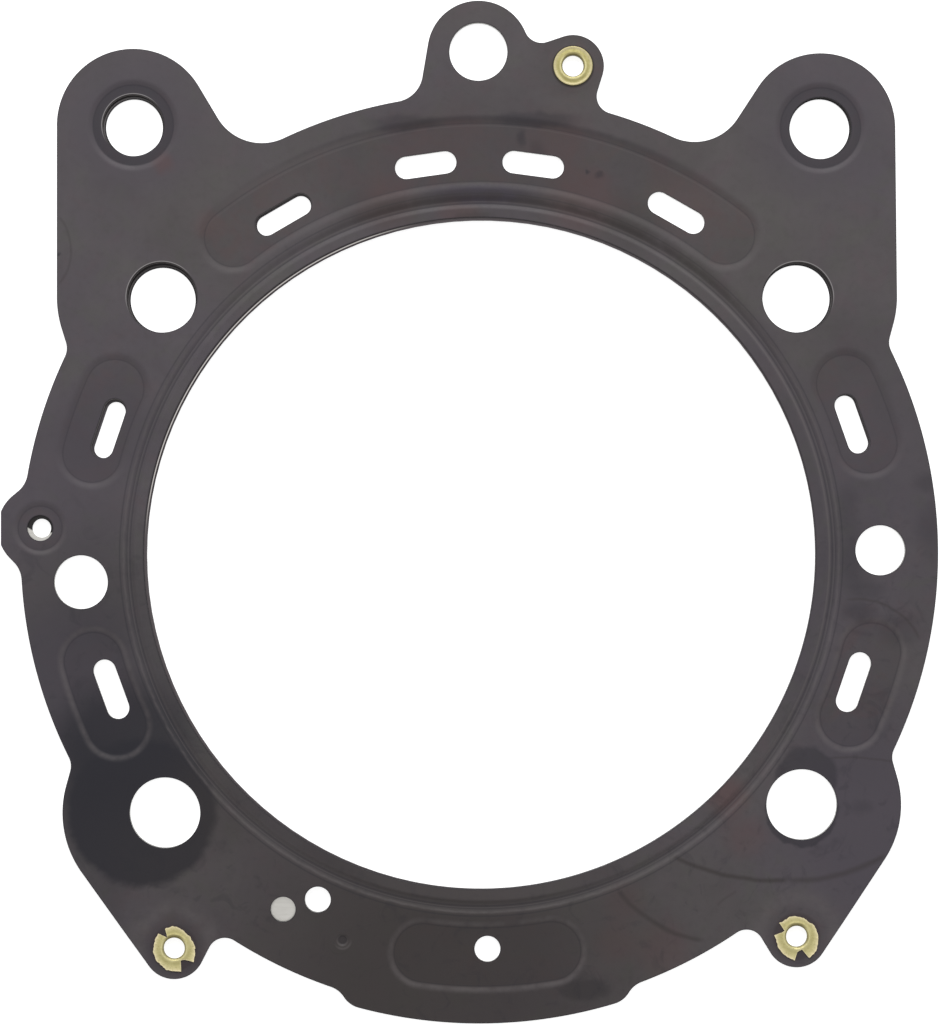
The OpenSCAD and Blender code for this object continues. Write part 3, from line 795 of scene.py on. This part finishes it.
def srgb(r, g, b):
    """Linear colour of a colour given from 0 to 255."""
    return tuple((v / 255 / 12.92) if v / 255 <= 0.04045 else ((v / 255 + 0.055) / 1.055) ** 2.4
                 for v in (r, g, b))


# Coating: greys of the field, of what stains it, and of painted shade and light on it
WARM_GREY = srgb(72, 68, 69)
COOL_GREY = srgb(72, 67, 72)
PURPLE_GREY = srgb(67, 62, 69)
GREEN_GREY = srgb(71, 70, 67)
PINK_GREY = srgb(75, 66, 70)
# This dark tint is soot, and also paints shade in creases, along cut edges and on slopes facing
# away from the lamp
SOOT_AND_SHADE = srgb(27, 26, 33)
PURPLE_STAIN = srgb(46, 41, 55)
OIL_BROWN = srgb(44, 39, 38)
RUST = srgb(82, 58, 58)
# This light tint is scuffing, and also paints light on slopes the lamp leaves in shade and sheen on
# worn slopes
SCUFF_AND_LIGHT = srgb(92, 87, 88)
ROUND_SEAT_SHADOW = srgb(36, 30, 24)
TORN_SEAT_SHADOW = srgb(42, 34, 36)
LIT_EDGE = srgb(150, 146, 146)
LOWER_SHADOW = srgb(24, 21, 23)
LOWER_EDGE_WEAR_GLINT = srgb(122, 118, 118)

# Bare steel, the residue on it, and painted shadow and highlight on it
STEEL_GREY = srgb(192, 190, 185)
STEEL_PALE = srgb(200, 198, 193)
STEEL_DULL = srgb(186, 184, 179)
STEEL_EDGE_GLINT = srgb(206, 202, 198)
RESIDUE_PALE = srgb(86, 81, 83)
RESIDUE = srgb(72, 67, 69)
RESIDUE_IN_SHADOW = srgb(60, 55, 57)
STUD_RESIDUE_SHADOW = srgb(50, 45, 47)
PIN_SHADOW = srgb(20, 18, 21)

# Brass
BRASS_DULL = srgb(156, 149, 103)
BRASS_CLEAN = srgb(172, 165, 120)
BRASS_TORN = srgb(206, 198, 148)
BRASS_RING = srgb(200, 193, 150)
BRASS_RIM = srgb(180, 170, 138)
BRASS_TIP_HIGHLIGHT = srgb(226, 214, 180)
BRASS_GROOVE = srgb(140, 132, 84)
BRASS_SPECK = srgb(140, 128, 78)
BRASS_SHADE = srgb(104, 96, 62)
BRASS_BARREL = srgb(96, 90, 66)

# Dark patches: centre, radius, softness, how much flatter than a disc, strength and tint
DARK_SPOTS = [((-54.3, -41.3), 11.8, 0.9, 1, 0.95, SOOT_AND_SHADE), ((-57, -31), 10.5, 4, 1, 0.82, SOOT_AND_SHADE),
              ((-65, -36), 9, 5, 1, 0.6, SOOT_AND_SHADE), ((-64, -52), 8, 5, 1, 0.3, SOOT_AND_SHADE),
              ((-42, -39), 7, 5, 1, 0.3, OIL_BROWN),
              ((52, -35.6), 4.9, 0.5, 1, 0.5, SOOT_AND_SHADE), ((51.3, -41), 5.75, 0.3, 1, 0.55, SOOT_AND_SHADE),
              ((60.8, -40.4), 1.6, 1.2, 1.6, 0.25, SOOT_AND_SHADE),
              ((16.5, -69.6), 4, 1.4, 2.2, 0.6, SOOT_AND_SHADE),
              ((-6, -68), 28, 18, 1, 0.76, OIL_BROWN), ((-36, -58), 24, 12, 1, 0.3, OIL_BROWN),
              ((-64, -16), 15, 12, 1, 0.32, SOOT_AND_SHADE), ((30, -56), 14, 10, 1, 0.14, OIL_BROWN),
              ((64, 2), 22, 20, 1, 0.12, SOOT_AND_SHADE), ((59.5, 0), 4, 3, 0.7, 0.22, SOOT_AND_SHADE),
              ((-60, -5), 6, 4, 0.6, 0.2, SOOT_AND_SHADE), ((60, -27), 8, 6, 1, 0.16, SOOT_AND_SHADE),
              ((-60, 21), 8, 4, 1, 0.14, SOOT_AND_SHADE), ((0, 64), 22, 14, 1.8, 0.28, OIL_BROWN),
              ((46, 26), 8, 7, 1, 0.14, OIL_BROWN), ((60, 36), 7, 5, 1.5, 0.12, SOOT_AND_SHADE),
              ((9, 64.5), 1.2, 0.9, 0.7, 0.3, SOOT_AND_SHADE), ((6.4, 66.7), 0.7, 0.5, 0.6, 0.5, SOOT_AND_SHADE),
              ((17.2, 61.3), 0.4, 0.3, 1, 0.6, SOOT_AND_SHADE), ((19, 60.7), 0.5, 0.4, 1, 0.5, SOOT_AND_SHADE),
              ((-67.6, 48), 0.35, 0.25, 1, 0.8, SOOT_AND_SHADE),
              ((58.6, 8), 1.6, 1.2, 0.5, 0.26, SOOT_AND_SHADE), ((71.3, 11.6), 1.8, 1.4, 1.4, 0.32, SOOT_AND_SHADE),
              ((72, 4), 2.2, 1.6, 0.6, 0.3, SOOT_AND_SHADE), ((59.4, -1.5), 1.8, 1.2, 0.4, 0.25, SOOT_AND_SHADE),
              ((60.5, -9.3), 2.4, 1.4, 1.6, 0.38, SOOT_AND_SHADE), ((67, -12), 3, 2, 1.3, 0.22, SOOT_AND_SHADE),
              ((62, -5.6), 2.5, 1.5, 1.6, 0.24, SOOT_AND_SHADE), ((-1, 53.9), 3, 1.2, 3, 0.4, OIL_BROWN),
              ((0, 57.6), 7.5, 4, 5, 0.7, PURPLE_STAIN), ((-17, 55), 5, 3, 2, 0.3, OIL_BROWN),
              ((24, 52.5), 5, 3, 1, 0.3, OIL_BROWN), ((-12, 69), 5, 2.5, 4, 0.4, SOOT_AND_SHADE),
              ((9, 69.6), 6, 2.5, 5, 0.45, SOOT_AND_SHADE), ((29, 63), 7, 4, 1.5, 0.14, OIL_BROWN)]
# Dark smears: three points of an arc, half its width and strength
SMEARS = [((30.3, -48), (39.2, -51.3), (49.5, -52.1), 0.65, 0.66),
          ((49, -52.1), (54.2, -51.8), (65, -48), 0.8, 0.5),
          ((21.9, -53.6), (26, -57.7), (35.9, -61.8), 0.7, 0.55),
          ((58.3, -7.3), (64.7, -8.1), (70.3, -13.7), 0.4, 0.4),
          ((37.7, -56.2), (39, -55), (40.9, -53.8), 0.4, 0.25),
          ((-67.8, 54.4), (-65.6, 48.5), (-67.8, 43), 0.35, 0.3),
          ((55.5, -32.5), (63, -32.7), (70, -34), 0.35, 0.35),
          ((-24.6, -62.4), (-22.6, -64), (-20.8, -62), 0.35, 0.4)]
# Reddish patches: centre, radius and strength
RED_SPOTS = [((39.5, -38.6), 3, 0.5), ((42, -45.2), 3, 0.25), ((23, -55.6), 3, 0.25),
             ((29, -63), 4, 0.3), ((21.5, -62), 3, 0.3), ((-3.5, 54.7), 3, 0.4), ((34, 56), 4, 0.2),
             ((-15, 56.5), 4, 0.35), ((16, 56.5), 5, 0.4), ((-4, 67.5), 4, 0.16),
             ((12, 66), 5, 0.24), ((-11, 66.5), 4, 0.2), ((-50.9, 62.7), 1.6, 0.4),
             ((-43.7, 52.7), 2.2, 0.3)]
# Tinted areas: centre, radius and strength
PURPLE_SPOTS = [(EAR_LEFT, 11, 0.55), (EAR_RIGHT, 11, 0.5), ((-70, 8), 12, 0.45),
                ((66, 20), 14, 0.35), ((62, -44), 13, 0.85), ((-66, -20), 12, 0.7),
                ((-50, -68), 8, 0.4), ((50, -68), 8, 0.4), ((-60.5, 20.5), 7.5, 0.42),
                ((57.5, -33), 7, 0.25)]

# Middle of the opening, and the outer edge of the pressed bands' floors
AXIS = (0, 0)
BAND_EDGE_R = BAND_R + BAND_W / 2
# Tints of the lip inside the bead: direction, half-angle, softness, strength and tint
LIP_TINTS = [(0, 30, 22, 0.12, SOOT_AND_SHADE), (222, 30, 22, 0.14, SOOT_AND_SHADE), (268, 16, 10, 0.2, SCUFF_AND_LIGHT)]
# All but the top of a ring: direction, half-angle and softness
SOUTH = (270, 134, 14)
# Arcs round the opening: radius, half-width, direction, half-angle, softness, strength
# and tint
# The last bead arc is painted crease shade and coating build-up at the bead's far foot, on all but
# the top
BEAD_ARCS = [(SHOULDER_R + 0.45, 0.3, 10, 46, 14, 0.5, SCUFF_AND_LIGHT),
             (SHOULDER_R + 0.65, 0.5, 245, 50, 16, 0.24, SCUFF_AND_LIGHT),
             (FAR_FOOT_R + 0.01, 0.45, *SOUTH, 0.36, SOOT_AND_SHADE)]
# The second streaky arc is painted shade on the top band's outer slope at the north, which faces
# away from the lamp
STREAKY_ARCS = [(OUTER_R - 0.35, 2.0, 76, 34, 14, 0.65, OIL_BROWN),
                (BAND_EDGE_R + 0.95, 0.8, 90, 20, 14, 0.28, SOOT_AND_SHADE)]
# Painted light: the first lifts the shaded outer slope of the top band at the upper left, the
# second is a thin light line inside the top band's foot, burnish with painted highlight
BAND_LIGHT_ARCS = [(BAND_EDGE_R + 0.35, 1.0, 116, 10, 6, 0.42, SCUFF_AND_LIGHT),
             (BAND_EDGE_R - 0.4, 0.16, 90, 38, 14, 0.2, SCUFF_AND_LIGHT)]
# Whole rings on the bead: radius, half-width, strength and tint
# The first ring is painted crease shade and coating build-up at the bead's inner foot
BEAD_RINGS = [(FOOT_R + 0.06, 0.18, 0.5, SOOT_AND_SHADE), (FAR_FOOT_R - 0.07, 0.14, 0.35, SCUFF_AND_LIGHT),
              (OUTER_R + 0.1, 0.22, 0.4, SOOT_AND_SHADE)]


def worn_field(f, colour):
    """Stains, tints and smears of the face that was in use, a mottled painted shade that grows
    towards the bottom, and darker floors round the ear holes.
    """
    uneven = f.wobble(2.2, 1.6)
    floors = f.math("MULTIPLY", f.fade(f.radius(AXIS), BORE_R + 3.6, BORE_R + 4.4),
                    f.math("SUBTRACT", 1.0, f.mark("height")))
    colour = f.stain(colour, OIL_BROWN, 0.18, floors)
    patchy = f.fade(f.noise(4.5, 4, 0.6, 0.8, seed=8), 0.42, 0.68)
    colour = f.stain(colour, RUST, 0.2, floors, patchy)
    for centre, r, strength in PURPLE_SPOTS:
        colour = f.stain(colour, PURPLE_GREY, strength, f.spot(centre, r, r * 0.5))
    for centre, r, strength in RED_SPOTS:
        colour = f.stain(colour, RUST, strength, f.spot(centre, r, r * 0.6, uneven))
    for centre, r, soft, squash, strength, tint in DARK_SPOTS:
        colour = f.stain(colour, tint, strength, f.spot(centre, r, soft, uneven, squash))
    shaky = f.wobble(3, 0.5)
    for a, b, c, width, strength in SMEARS:
        colour = f.stain(colour, OIL_BROWN, strength, f.arc_line(a, b, c, width, shaky))
    # Mottled painted shade that grows towards the bottom, standing in for the light's falloff
    falloff_smudge = f.fade(f.noise(3.6, 4, 0.6, 1.2, seed=9), 0.53, 0.7)
    colour = f.stain(colour, SOOT_AND_SHADE, 0.24, falloff_smudge, f.below(20, -10))
    # Darker pressed floors round the ear holes
    for centre, strength in ((EAR_LEFT, 0.48), (EAR_RIGHT, 0.4)):
        colour = f.stain(colour, SOOT_AND_SHADE, strength, f.spot(centre, EAR_FLAT_R + 0.1, 0.2))
    return colour


def arcs(f, colour, rows, *masks):
    """Soft lines along arcs round the opening."""
    for r, width, degrees, half, soft, strength, tint in rows:
        colour = f.stain(colour, tint, strength, f.ring_line(AXIS, r, width),
                         f.toward(degrees, half, soft), *masks)
    return colour


def bead_lines(f, colour):
    """Residue, scuffs, painted crease shade and painted light and shade along the round bead, the
    top band and the lower bands' slopes.
    """
    streak = f.noise(2.6, 3, 0.6, seed=6)
    lip = f.fade(f.radius(AXIS), SHOULDER_R - 0.3, SHOULDER_R + 0.3, 1.0, 0.0)
    for degrees, half, soft, strength, tint in LIP_TINTS:
        colour = f.stain(colour, tint, strength, lip, f.toward(degrees, half, soft))
    colour = arcs(f, colour, BEAD_ARCS)
    crest = f.ring_line(AXIS, OUTER_R - 0.5, 0.32, f.wobble(1.6, 0.45))
    colour = f.stain(colour, SCUFF_AND_LIGHT, 0.34, crest, f.toward(*SOUTH),
                     f.fade(streak, 0.3, 0.6, 0.4, 1.0))
    for r, width, strength, tint in BEAD_RINGS:
        colour = f.stain(colour, tint, strength, f.ring_line(AXIS, r, width))
    colour = arcs(f, colour, STREAKY_ARCS, f.fade(streak, 0.25, 0.6, 0.45, 1.0))
    colour = arcs(f, colour, BAND_LIGHT_ARCS)
    # Lighter slopes of the pressings in the lower part: wear, with painted sheen
    height = f.mark("height")
    worn_slope_sheen = f.math("MULTIPLY", height, f.math("SUBTRACT", 1.0, height))
    return f.stain(colour, SCUFF_AND_LIGHT, 1.1, worn_slope_sheen, f.fade(f.radius(AXIS), OUTER_R, OUTER_R + 0.4),
                   f.below(25, -15), f.fade(streak, 0.25, 0.7, 0.5, 1.5))


def small_marks(f, colour):
    """Painted contact shadow round the eyelets where they sit on the coating, and a light line by
    the clinch.
    """
    # Painted contact shadow round the eyelets, the round one's set a little south, away from the
    # lamp
    seat_shadow = f.spot(EYELET_TOP - (0, 0.12), HEAD_R + 0.25, 0.14)
    colour = f.stain(colour, ROUND_SEAT_SHADOW, 0.75, seat_shadow)
    for centre in (EYELET_LEFT, EYELET_RIGHT):
        colour = f.stain(colour, TORN_SEAT_SHADOW, 0.55, f.spot(centre, 3.75, 0.35))
    return f.stain(colour, SCUFF_AND_LIGHT, 0.4, f.ring_line(CLINCH, 1.35, 0.3),
                   f.spot(CLINCH + (0.5, -1.6), 1.5, 0.8))


def lit_edges(f, colour):
    """Light on the top sheet's cut edge, on the side where a hole shows the most below."""
    for centre, d, bite, direction in HOLES:
        if bite > 0.5:
            side = f.spot(centre + polar(d / 2, direction + 15), d * 0.6, 1.5)
            colour = f.stain(colour, LIT_EDGE, 0.7, f.ring_line(centre, d / 2 + 0.1, 0.13), side)
    return colour


def seen_in_holes(f, colour):
    """Where the holes above show the lower sheet, it is painted black as shadow under the top
    layers, with a thin light line on it that is partly wear and partly painted highlight.
    """
    for centre, d, bite, direction in HOLES:
        if bite:
            # Painted shadow under the top layers, then a light line that is wear and painted
            # highlight
            colour = f.stain(colour, LOWER_SHADOW, 0.85, f.spot(centre, d / 2 + 0.5, 0.2))
            line = f.ring_line(centre - polar(bite / 2, direction), d / 2 - bite / 2 + 0.3, 0.15)
            colour = f.stain(colour, LOWER_EDGE_WEAR_GLINT, 0.6, line)
    return colour


def coated_steel(name, worn):
    """Satin rubber coating on spring steel: mottled, stained and lightly scuffed, with painted
    shade in its creases, along its cut edges and round the eyelets and holes, and painted light on
    some slopes.
    """
    f = Finish(name)
    broad = f.noise(38, 3, 0.55, 0.4)
    blotch = f.noise(9, 4, 0.6, 0.6, seed=1)
    fine = f.noise(1.1, 3, 0.6, seed=2)
    grain = f.noise(0.28, 2, 0.6, seed=3)
    cast = f.noise(5, 3, 0.6, 0.5, seed=7)
    colour = f.mix(f.fade(broad, 0.35, 0.65), WARM_GREY, COOL_GREY)
    colour = f.mix(f.fade(cast, 0.5, 0.7, 0.0, 0.5), colour, GREEN_GREY)
    colour = f.mix(f.fade(cast, 0.3, 0.48, 0.5, 0.0), colour, PINK_GREY)
    colour = f.mix(f.fade(blotch, 0.45, 0.72, 0.0, 0.16), colour, SCUFF_AND_LIGHT)
    colour = f.mix(f.fade(blotch, 0.25, 0.48, 0.16, 0.0), colour, OIL_BROWN)
    colour = f.mix(f.fade(fine, 0.45, 0.75, 0.0, 0.12), colour, OIL_BROWN)
    if worn:
        colour = small_marks(f, bead_lines(f, worn_field(f, colour)))
    else:
        colour = seen_in_holes(f, colour)
    # Painted crease shade and coating build-up at the foot of the pressed slopes
    colour = f.stain(colour, SOOT_AND_SHADE, 0.4, f.mark("foot"))
    # Painted shadow along the cut edges, kept in the rim mark
    colour = f.stain(colour, SOOT_AND_SHADE, 0.6, f.math("POWER", f.mark("rim"), 2.0))
    if worn:
        colour = lit_edges(f, colour)
    f.put(colour, f.shader.inputs["Base Color"])
    satin = f.fade(blotch, 0.3, 0.7, 0.5, 0.6)
    f.put(f.math("ADD", satin, f.fade(grain, 0.2, 0.8, -0.04, 0.05)),
          f.shader.inputs["Roughness"])
    f.put(0.25, f.shader.inputs["Specular IOR Level"])
    f.bump(f.math("ADD", f.scale(grain, 0.3), f.scale(fine, 0.7)), 0.2, 0.02)
    return f.material


def bare_steel(name):
    """Rolled steel with fine lines along the sheet, dark with residue round the opening,
    with a painted highlight on its cut edge and painted shadow of the top sheet beside it in
    the stretch that the top sheet leaves bare, and dark with residue and painted shadow of the
    top sheet in the holes and slots."""
    f = Finish(name)
    brushed = f.noise(0.16, 3, 0.6, place=f.vector("MULTIPLY", f.place, (0.06, 1.0, 1.0)))
    cloud = f.noise(5, 3, 0.5, seed=4)
    colour = f.mix(f.fade(brushed, 0.3, 0.7), STEEL_GREY, STEEL_PALE)
    colour = f.mix(f.fade(cloud, 0.4, 0.7, 0.0, 0.3), colour, STEEL_DULL)
    # Painted highlight on the cut edge, with painted shadow of the top sheet's edge beside it, in
    # the stretch facing 139 degrees
    glint_side = f.toward(139, 33, 6)
    shaded_residue = f.mix(f.fade(f.radius(AXIS), BORE_R + 0.44, BORE_R + 0.52), RESIDUE_IN_SHADOW, RESIDUE)
    residue = f.mix(glint_side, RESIDUE_PALE, shaded_residue)
    residue = f.stain(residue, STEEL_EDGE_GLINT, 1.0, f.ring_line(AXIS, BORE_R + 0.34, 0.14), glint_side)
    colour = f.mix(f.spot(AXIS, BORE_R + 2, 0.3), colour, residue)
    # Painted shadow of the top sheet, over residue, where the carrier shows in the bitten holes and
    # slots
    for centre, d, bite, _ in HOLES:
        if bite:
            colour = f.stain(colour, STUD_RESIDUE_SHADOW, 0.92, f.spot(centre, d / 2 + 1, 0.2))
    for angle, bite, _ in SLOTS:
        if bite:
            near = f.spot(polar(SLOT_R, angle), SLOT_L / 2 + 1, 0.2)
            colour = f.stain(colour, RESIDUE_IN_SHADOW, 0.85, near)
    colour = f.stain(colour, PIN_SHADOW, 0.96, f.spot(PIN_HOLE, 2.7, 0.2),
                     f.spot(PIN_HOLE + (0.9, 4.4), 5.2, 0.12))
    f.put(colour, f.shader.inputs["Base Color"])
    f.put(1.0, f.shader.inputs["Metallic"])
    f.put(f.fade(brushed, 0.2, 0.8, 0.3, 0.46), f.shader.inputs["Roughness"])
    f.bump(brushed, 0.2, 0.01)
    return f.material


def brass_plate(name):
    """Dull plated brass, olive in the folds, with painted highlights on the torn tips and painted
    shade on the north side round each mouth.
    """
    f = Finish(name)
    cloud = f.noise(1.6, 4, 0.6, 0.5)
    speck = f.noise(0.25, 3, 0.6, seed=5)
    colour = f.mix(f.fade(cloud, 0.35, 0.65), BRASS_DULL, BRASS_CLEAN)
    for centre in EYELETS:
        if centre is EYELET_TOP:
            groove, width, strength = 2.38, 0.3, 0.5
        else:
            groove, width, strength = 2.6, 0.42, 0.2
            colour = f.stain(colour, BRASS_TORN, 0.35, f.spot(centre, 4.2, 0.2))
        colour = f.stain(colour, BRASS_GROOVE, strength, f.ring_line(centre, groove, width))
        colour = f.stain(colour, BRASS_RING, 0.7, f.ring_line(centre, 2.04, 0.16))
        colour = f.stain(colour, BRASS_SHADE, 0.8, f.spot(centre, 2.2, 0.12),
                         f.spot(centre + (0, 2.4), 1.7, 0.9))
        colour = f.stain(colour, BRASS_BARREL, 0.7, f.spot(centre, EYELET_R + 0.1, 0.08))
    colour = f.stain(colour, BRASS_RIM, 0.75, f.ring_line(EYELET_TOP, 2.92, 0.3))
    # Painted highlight on the torn tips
    colour = f.stain(colour, BRASS_TIP_HIGHLIGHT, 0.85, f.math("POWER", f.mark("tip"), 6.0))
    colour = f.mix(f.fade(speck, 0.5, 0.75, 0.0, 0.4), colour, BRASS_SPECK)
    f.put(colour, f.shader.inputs["Base Color"])
    f.put(1.0, f.shader.inputs["Metallic"])
    f.put(f.fade(speck, 0.2, 0.8, 0.52, 0.66), f.shader.inputs["Roughness"])
    f.bump(f.math("ADD", cloud, speck), 0.35, 0.03)
    return f.material


def give(piece, material):
    piece.data.materials.clear()
    piece.data.materials.append(material)


def stand_for(piece, node, material):
    """Puts a new piece in a node's place."""
    give(piece, material)
    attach(piece, "root")
    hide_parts(node)


def build_gasket():
    coating = coated_steel("coated_steel_top", worn=True)
    lower_coating = coated_steel("coated_steel_bottom", worn=False)
    steel = bare_steel("bare_steel_sheet")
    brass = brass_plate("brass_plate")
    stand_for(bead_sheet("top_sheet", UPPER_Z, 1, 0, 0, 0, True),
              "top_bead_sheet", coating)
    stand_for(bead_sheet("bottom_sheet", CARRIER_Z, -1, LOWER_INSET, 1, 0.8, False),
              "bottom_bead_sheet", lower_coating)
    stand_for(eyelet("round_eyelet", EYELET_TOP, TORN_TOP, 3, flipped=True),
              "eyelet_top", brass)
    stand_for(eyelet("torn_eyelet_left", EYELET_LEFT, TORN_LEFT, 5),
              "eyelet_left", brass)
    stand_for(eyelet("torn_eyelet_right", EYELET_RIGHT, TORN_RIGHT, 9),
              "eyelet_right", brass)
    for node in ("carrier_sheet", "stopper_ring"):
        give(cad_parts[node], steel)


# Studio: width and middle of the picture, camera, floor, surroundings and key lamp

FRAME_W = 150.24
FRAME_C = (-1.87, 6.83)
CAMERA_H = 600
SENSOR = 36
FLOOR_HALF = 3000
FLOOR_Z = -0.02
FLOOR_GREY = 0.6
FLOOR_GLOW = 0.8
FLOOR_ROUGHNESS = 0.9
WORLD_FILL = 0.5
WORLD_SEEN = 0.95
KEY_PLACE = (0, 700, 600)
KEY_SIZE = (700, 400)
KEY_POWER = 8.0


def add_camera():
    data = bpy.data.cameras.new("camera")
    data.sensor_fit = "HORIZONTAL"
    data.sensor_width = SENSOR
    data.lens = SENSOR * (CAMERA_H - STACK_H) / FRAME_W
    camera = bpy.data.objects.new("camera", data)
    camera.location = Vector((*FRAME_C, CAMERA_H)) * MM
    bpy.context.scene.collection.objects.link(camera)
    bpy.context.scene.camera = camera


def add_key():
    """Broad lamp past the top of the part, aimed at the origin."""
    data = bpy.data.lights.new("key", "AREA")
    data.shape = "RECTANGLE"
    data.size, data.size_y = (side * MM for side in KEY_SIZE)
    data.energy = KEY_POWER
    key = bpy.data.objects.new("key", data)
    place = Vector(KEY_PLACE) * MM
    key.location = place
    key.rotation_euler = (-place).to_track_quat("-Z", "Y").to_euler()
    bpy.context.scene.collection.objects.link(key)


def see_through_share(tree):
    """1 for rays that come from the camera or a mirror, and 0 for light on surfaces."""
    path = tree.nodes.new("ShaderNodeLightPath")
    either = tree.nodes.new("ShaderNodeMath")
    either.operation = "MAXIMUM"
    tree.links.new(path.outputs["Is Camera Ray"], either.inputs[0])
    tree.links.new(path.outputs["Is Glossy Ray"], either.inputs[1])
    return either.outputs[0]


def add_world():
    """White surroundings, dimmer as light than as they are seen."""
    world = bpy.data.worlds.new("studio")
    world.use_nodes = True
    tree = world.node_tree
    level = tree.nodes.new("ShaderNodeMapRange")
    level.inputs["To Min"].default_value = WORLD_FILL
    level.inputs["To Max"].default_value = WORLD_SEEN
    tree.links.new(see_through_share(tree), level.inputs["Value"])
    background = tree.nodes["Background"]
    background.inputs["Color"].default_value = (1, 1, 1, 1)
    tree.links.new(level.outputs["Result"], background.inputs["Strength"])
    bpy.context.scene.world = world


def add_floor():
    """Pale floor that glows to the camera and to mirrors, so that it is seen as white."""
    corners = [(x * FLOOR_HALF, y * FLOOR_HALF, FLOOR_Z)
               for x, y in ((-1, -1), (1, -1), (1, 1), (-1, 1))]
    floor = new_mesh("floor", corners, [(0, 1, 2, 3)])
    material = bpy.data.materials.new("floor")
    material.use_nodes = True
    tree = material.node_tree
    shader = tree.nodes["Principled BSDF"]
    shader.inputs["Base Color"].default_value = (FLOOR_GREY, FLOOR_GREY, FLOOR_GREY, 1)
    shader.inputs["Roughness"].default_value = FLOOR_ROUGHNESS
    shader.inputs["Specular IOR Level"].default_value = 0.0
    shader.inputs["Emission Color"].default_value = (1, 1, 1, 1)
    level = tree.nodes.new("ShaderNodeMath")
    level.operation = "MULTIPLY"
    level.inputs[1].default_value = FLOOR_GLOW
    tree.links.new(see_through_share(tree), level.inputs[0])
    tree.links.new(level.outputs[0], shader.inputs["Emission Strength"])
    give(floor, material)


def add_studio():
    bpy.context.scene.view_settings.view_transform = "Standard"
    add_world()
    add_key()
    add_floor()
    add_camera()


build_gasket()
add_studio()
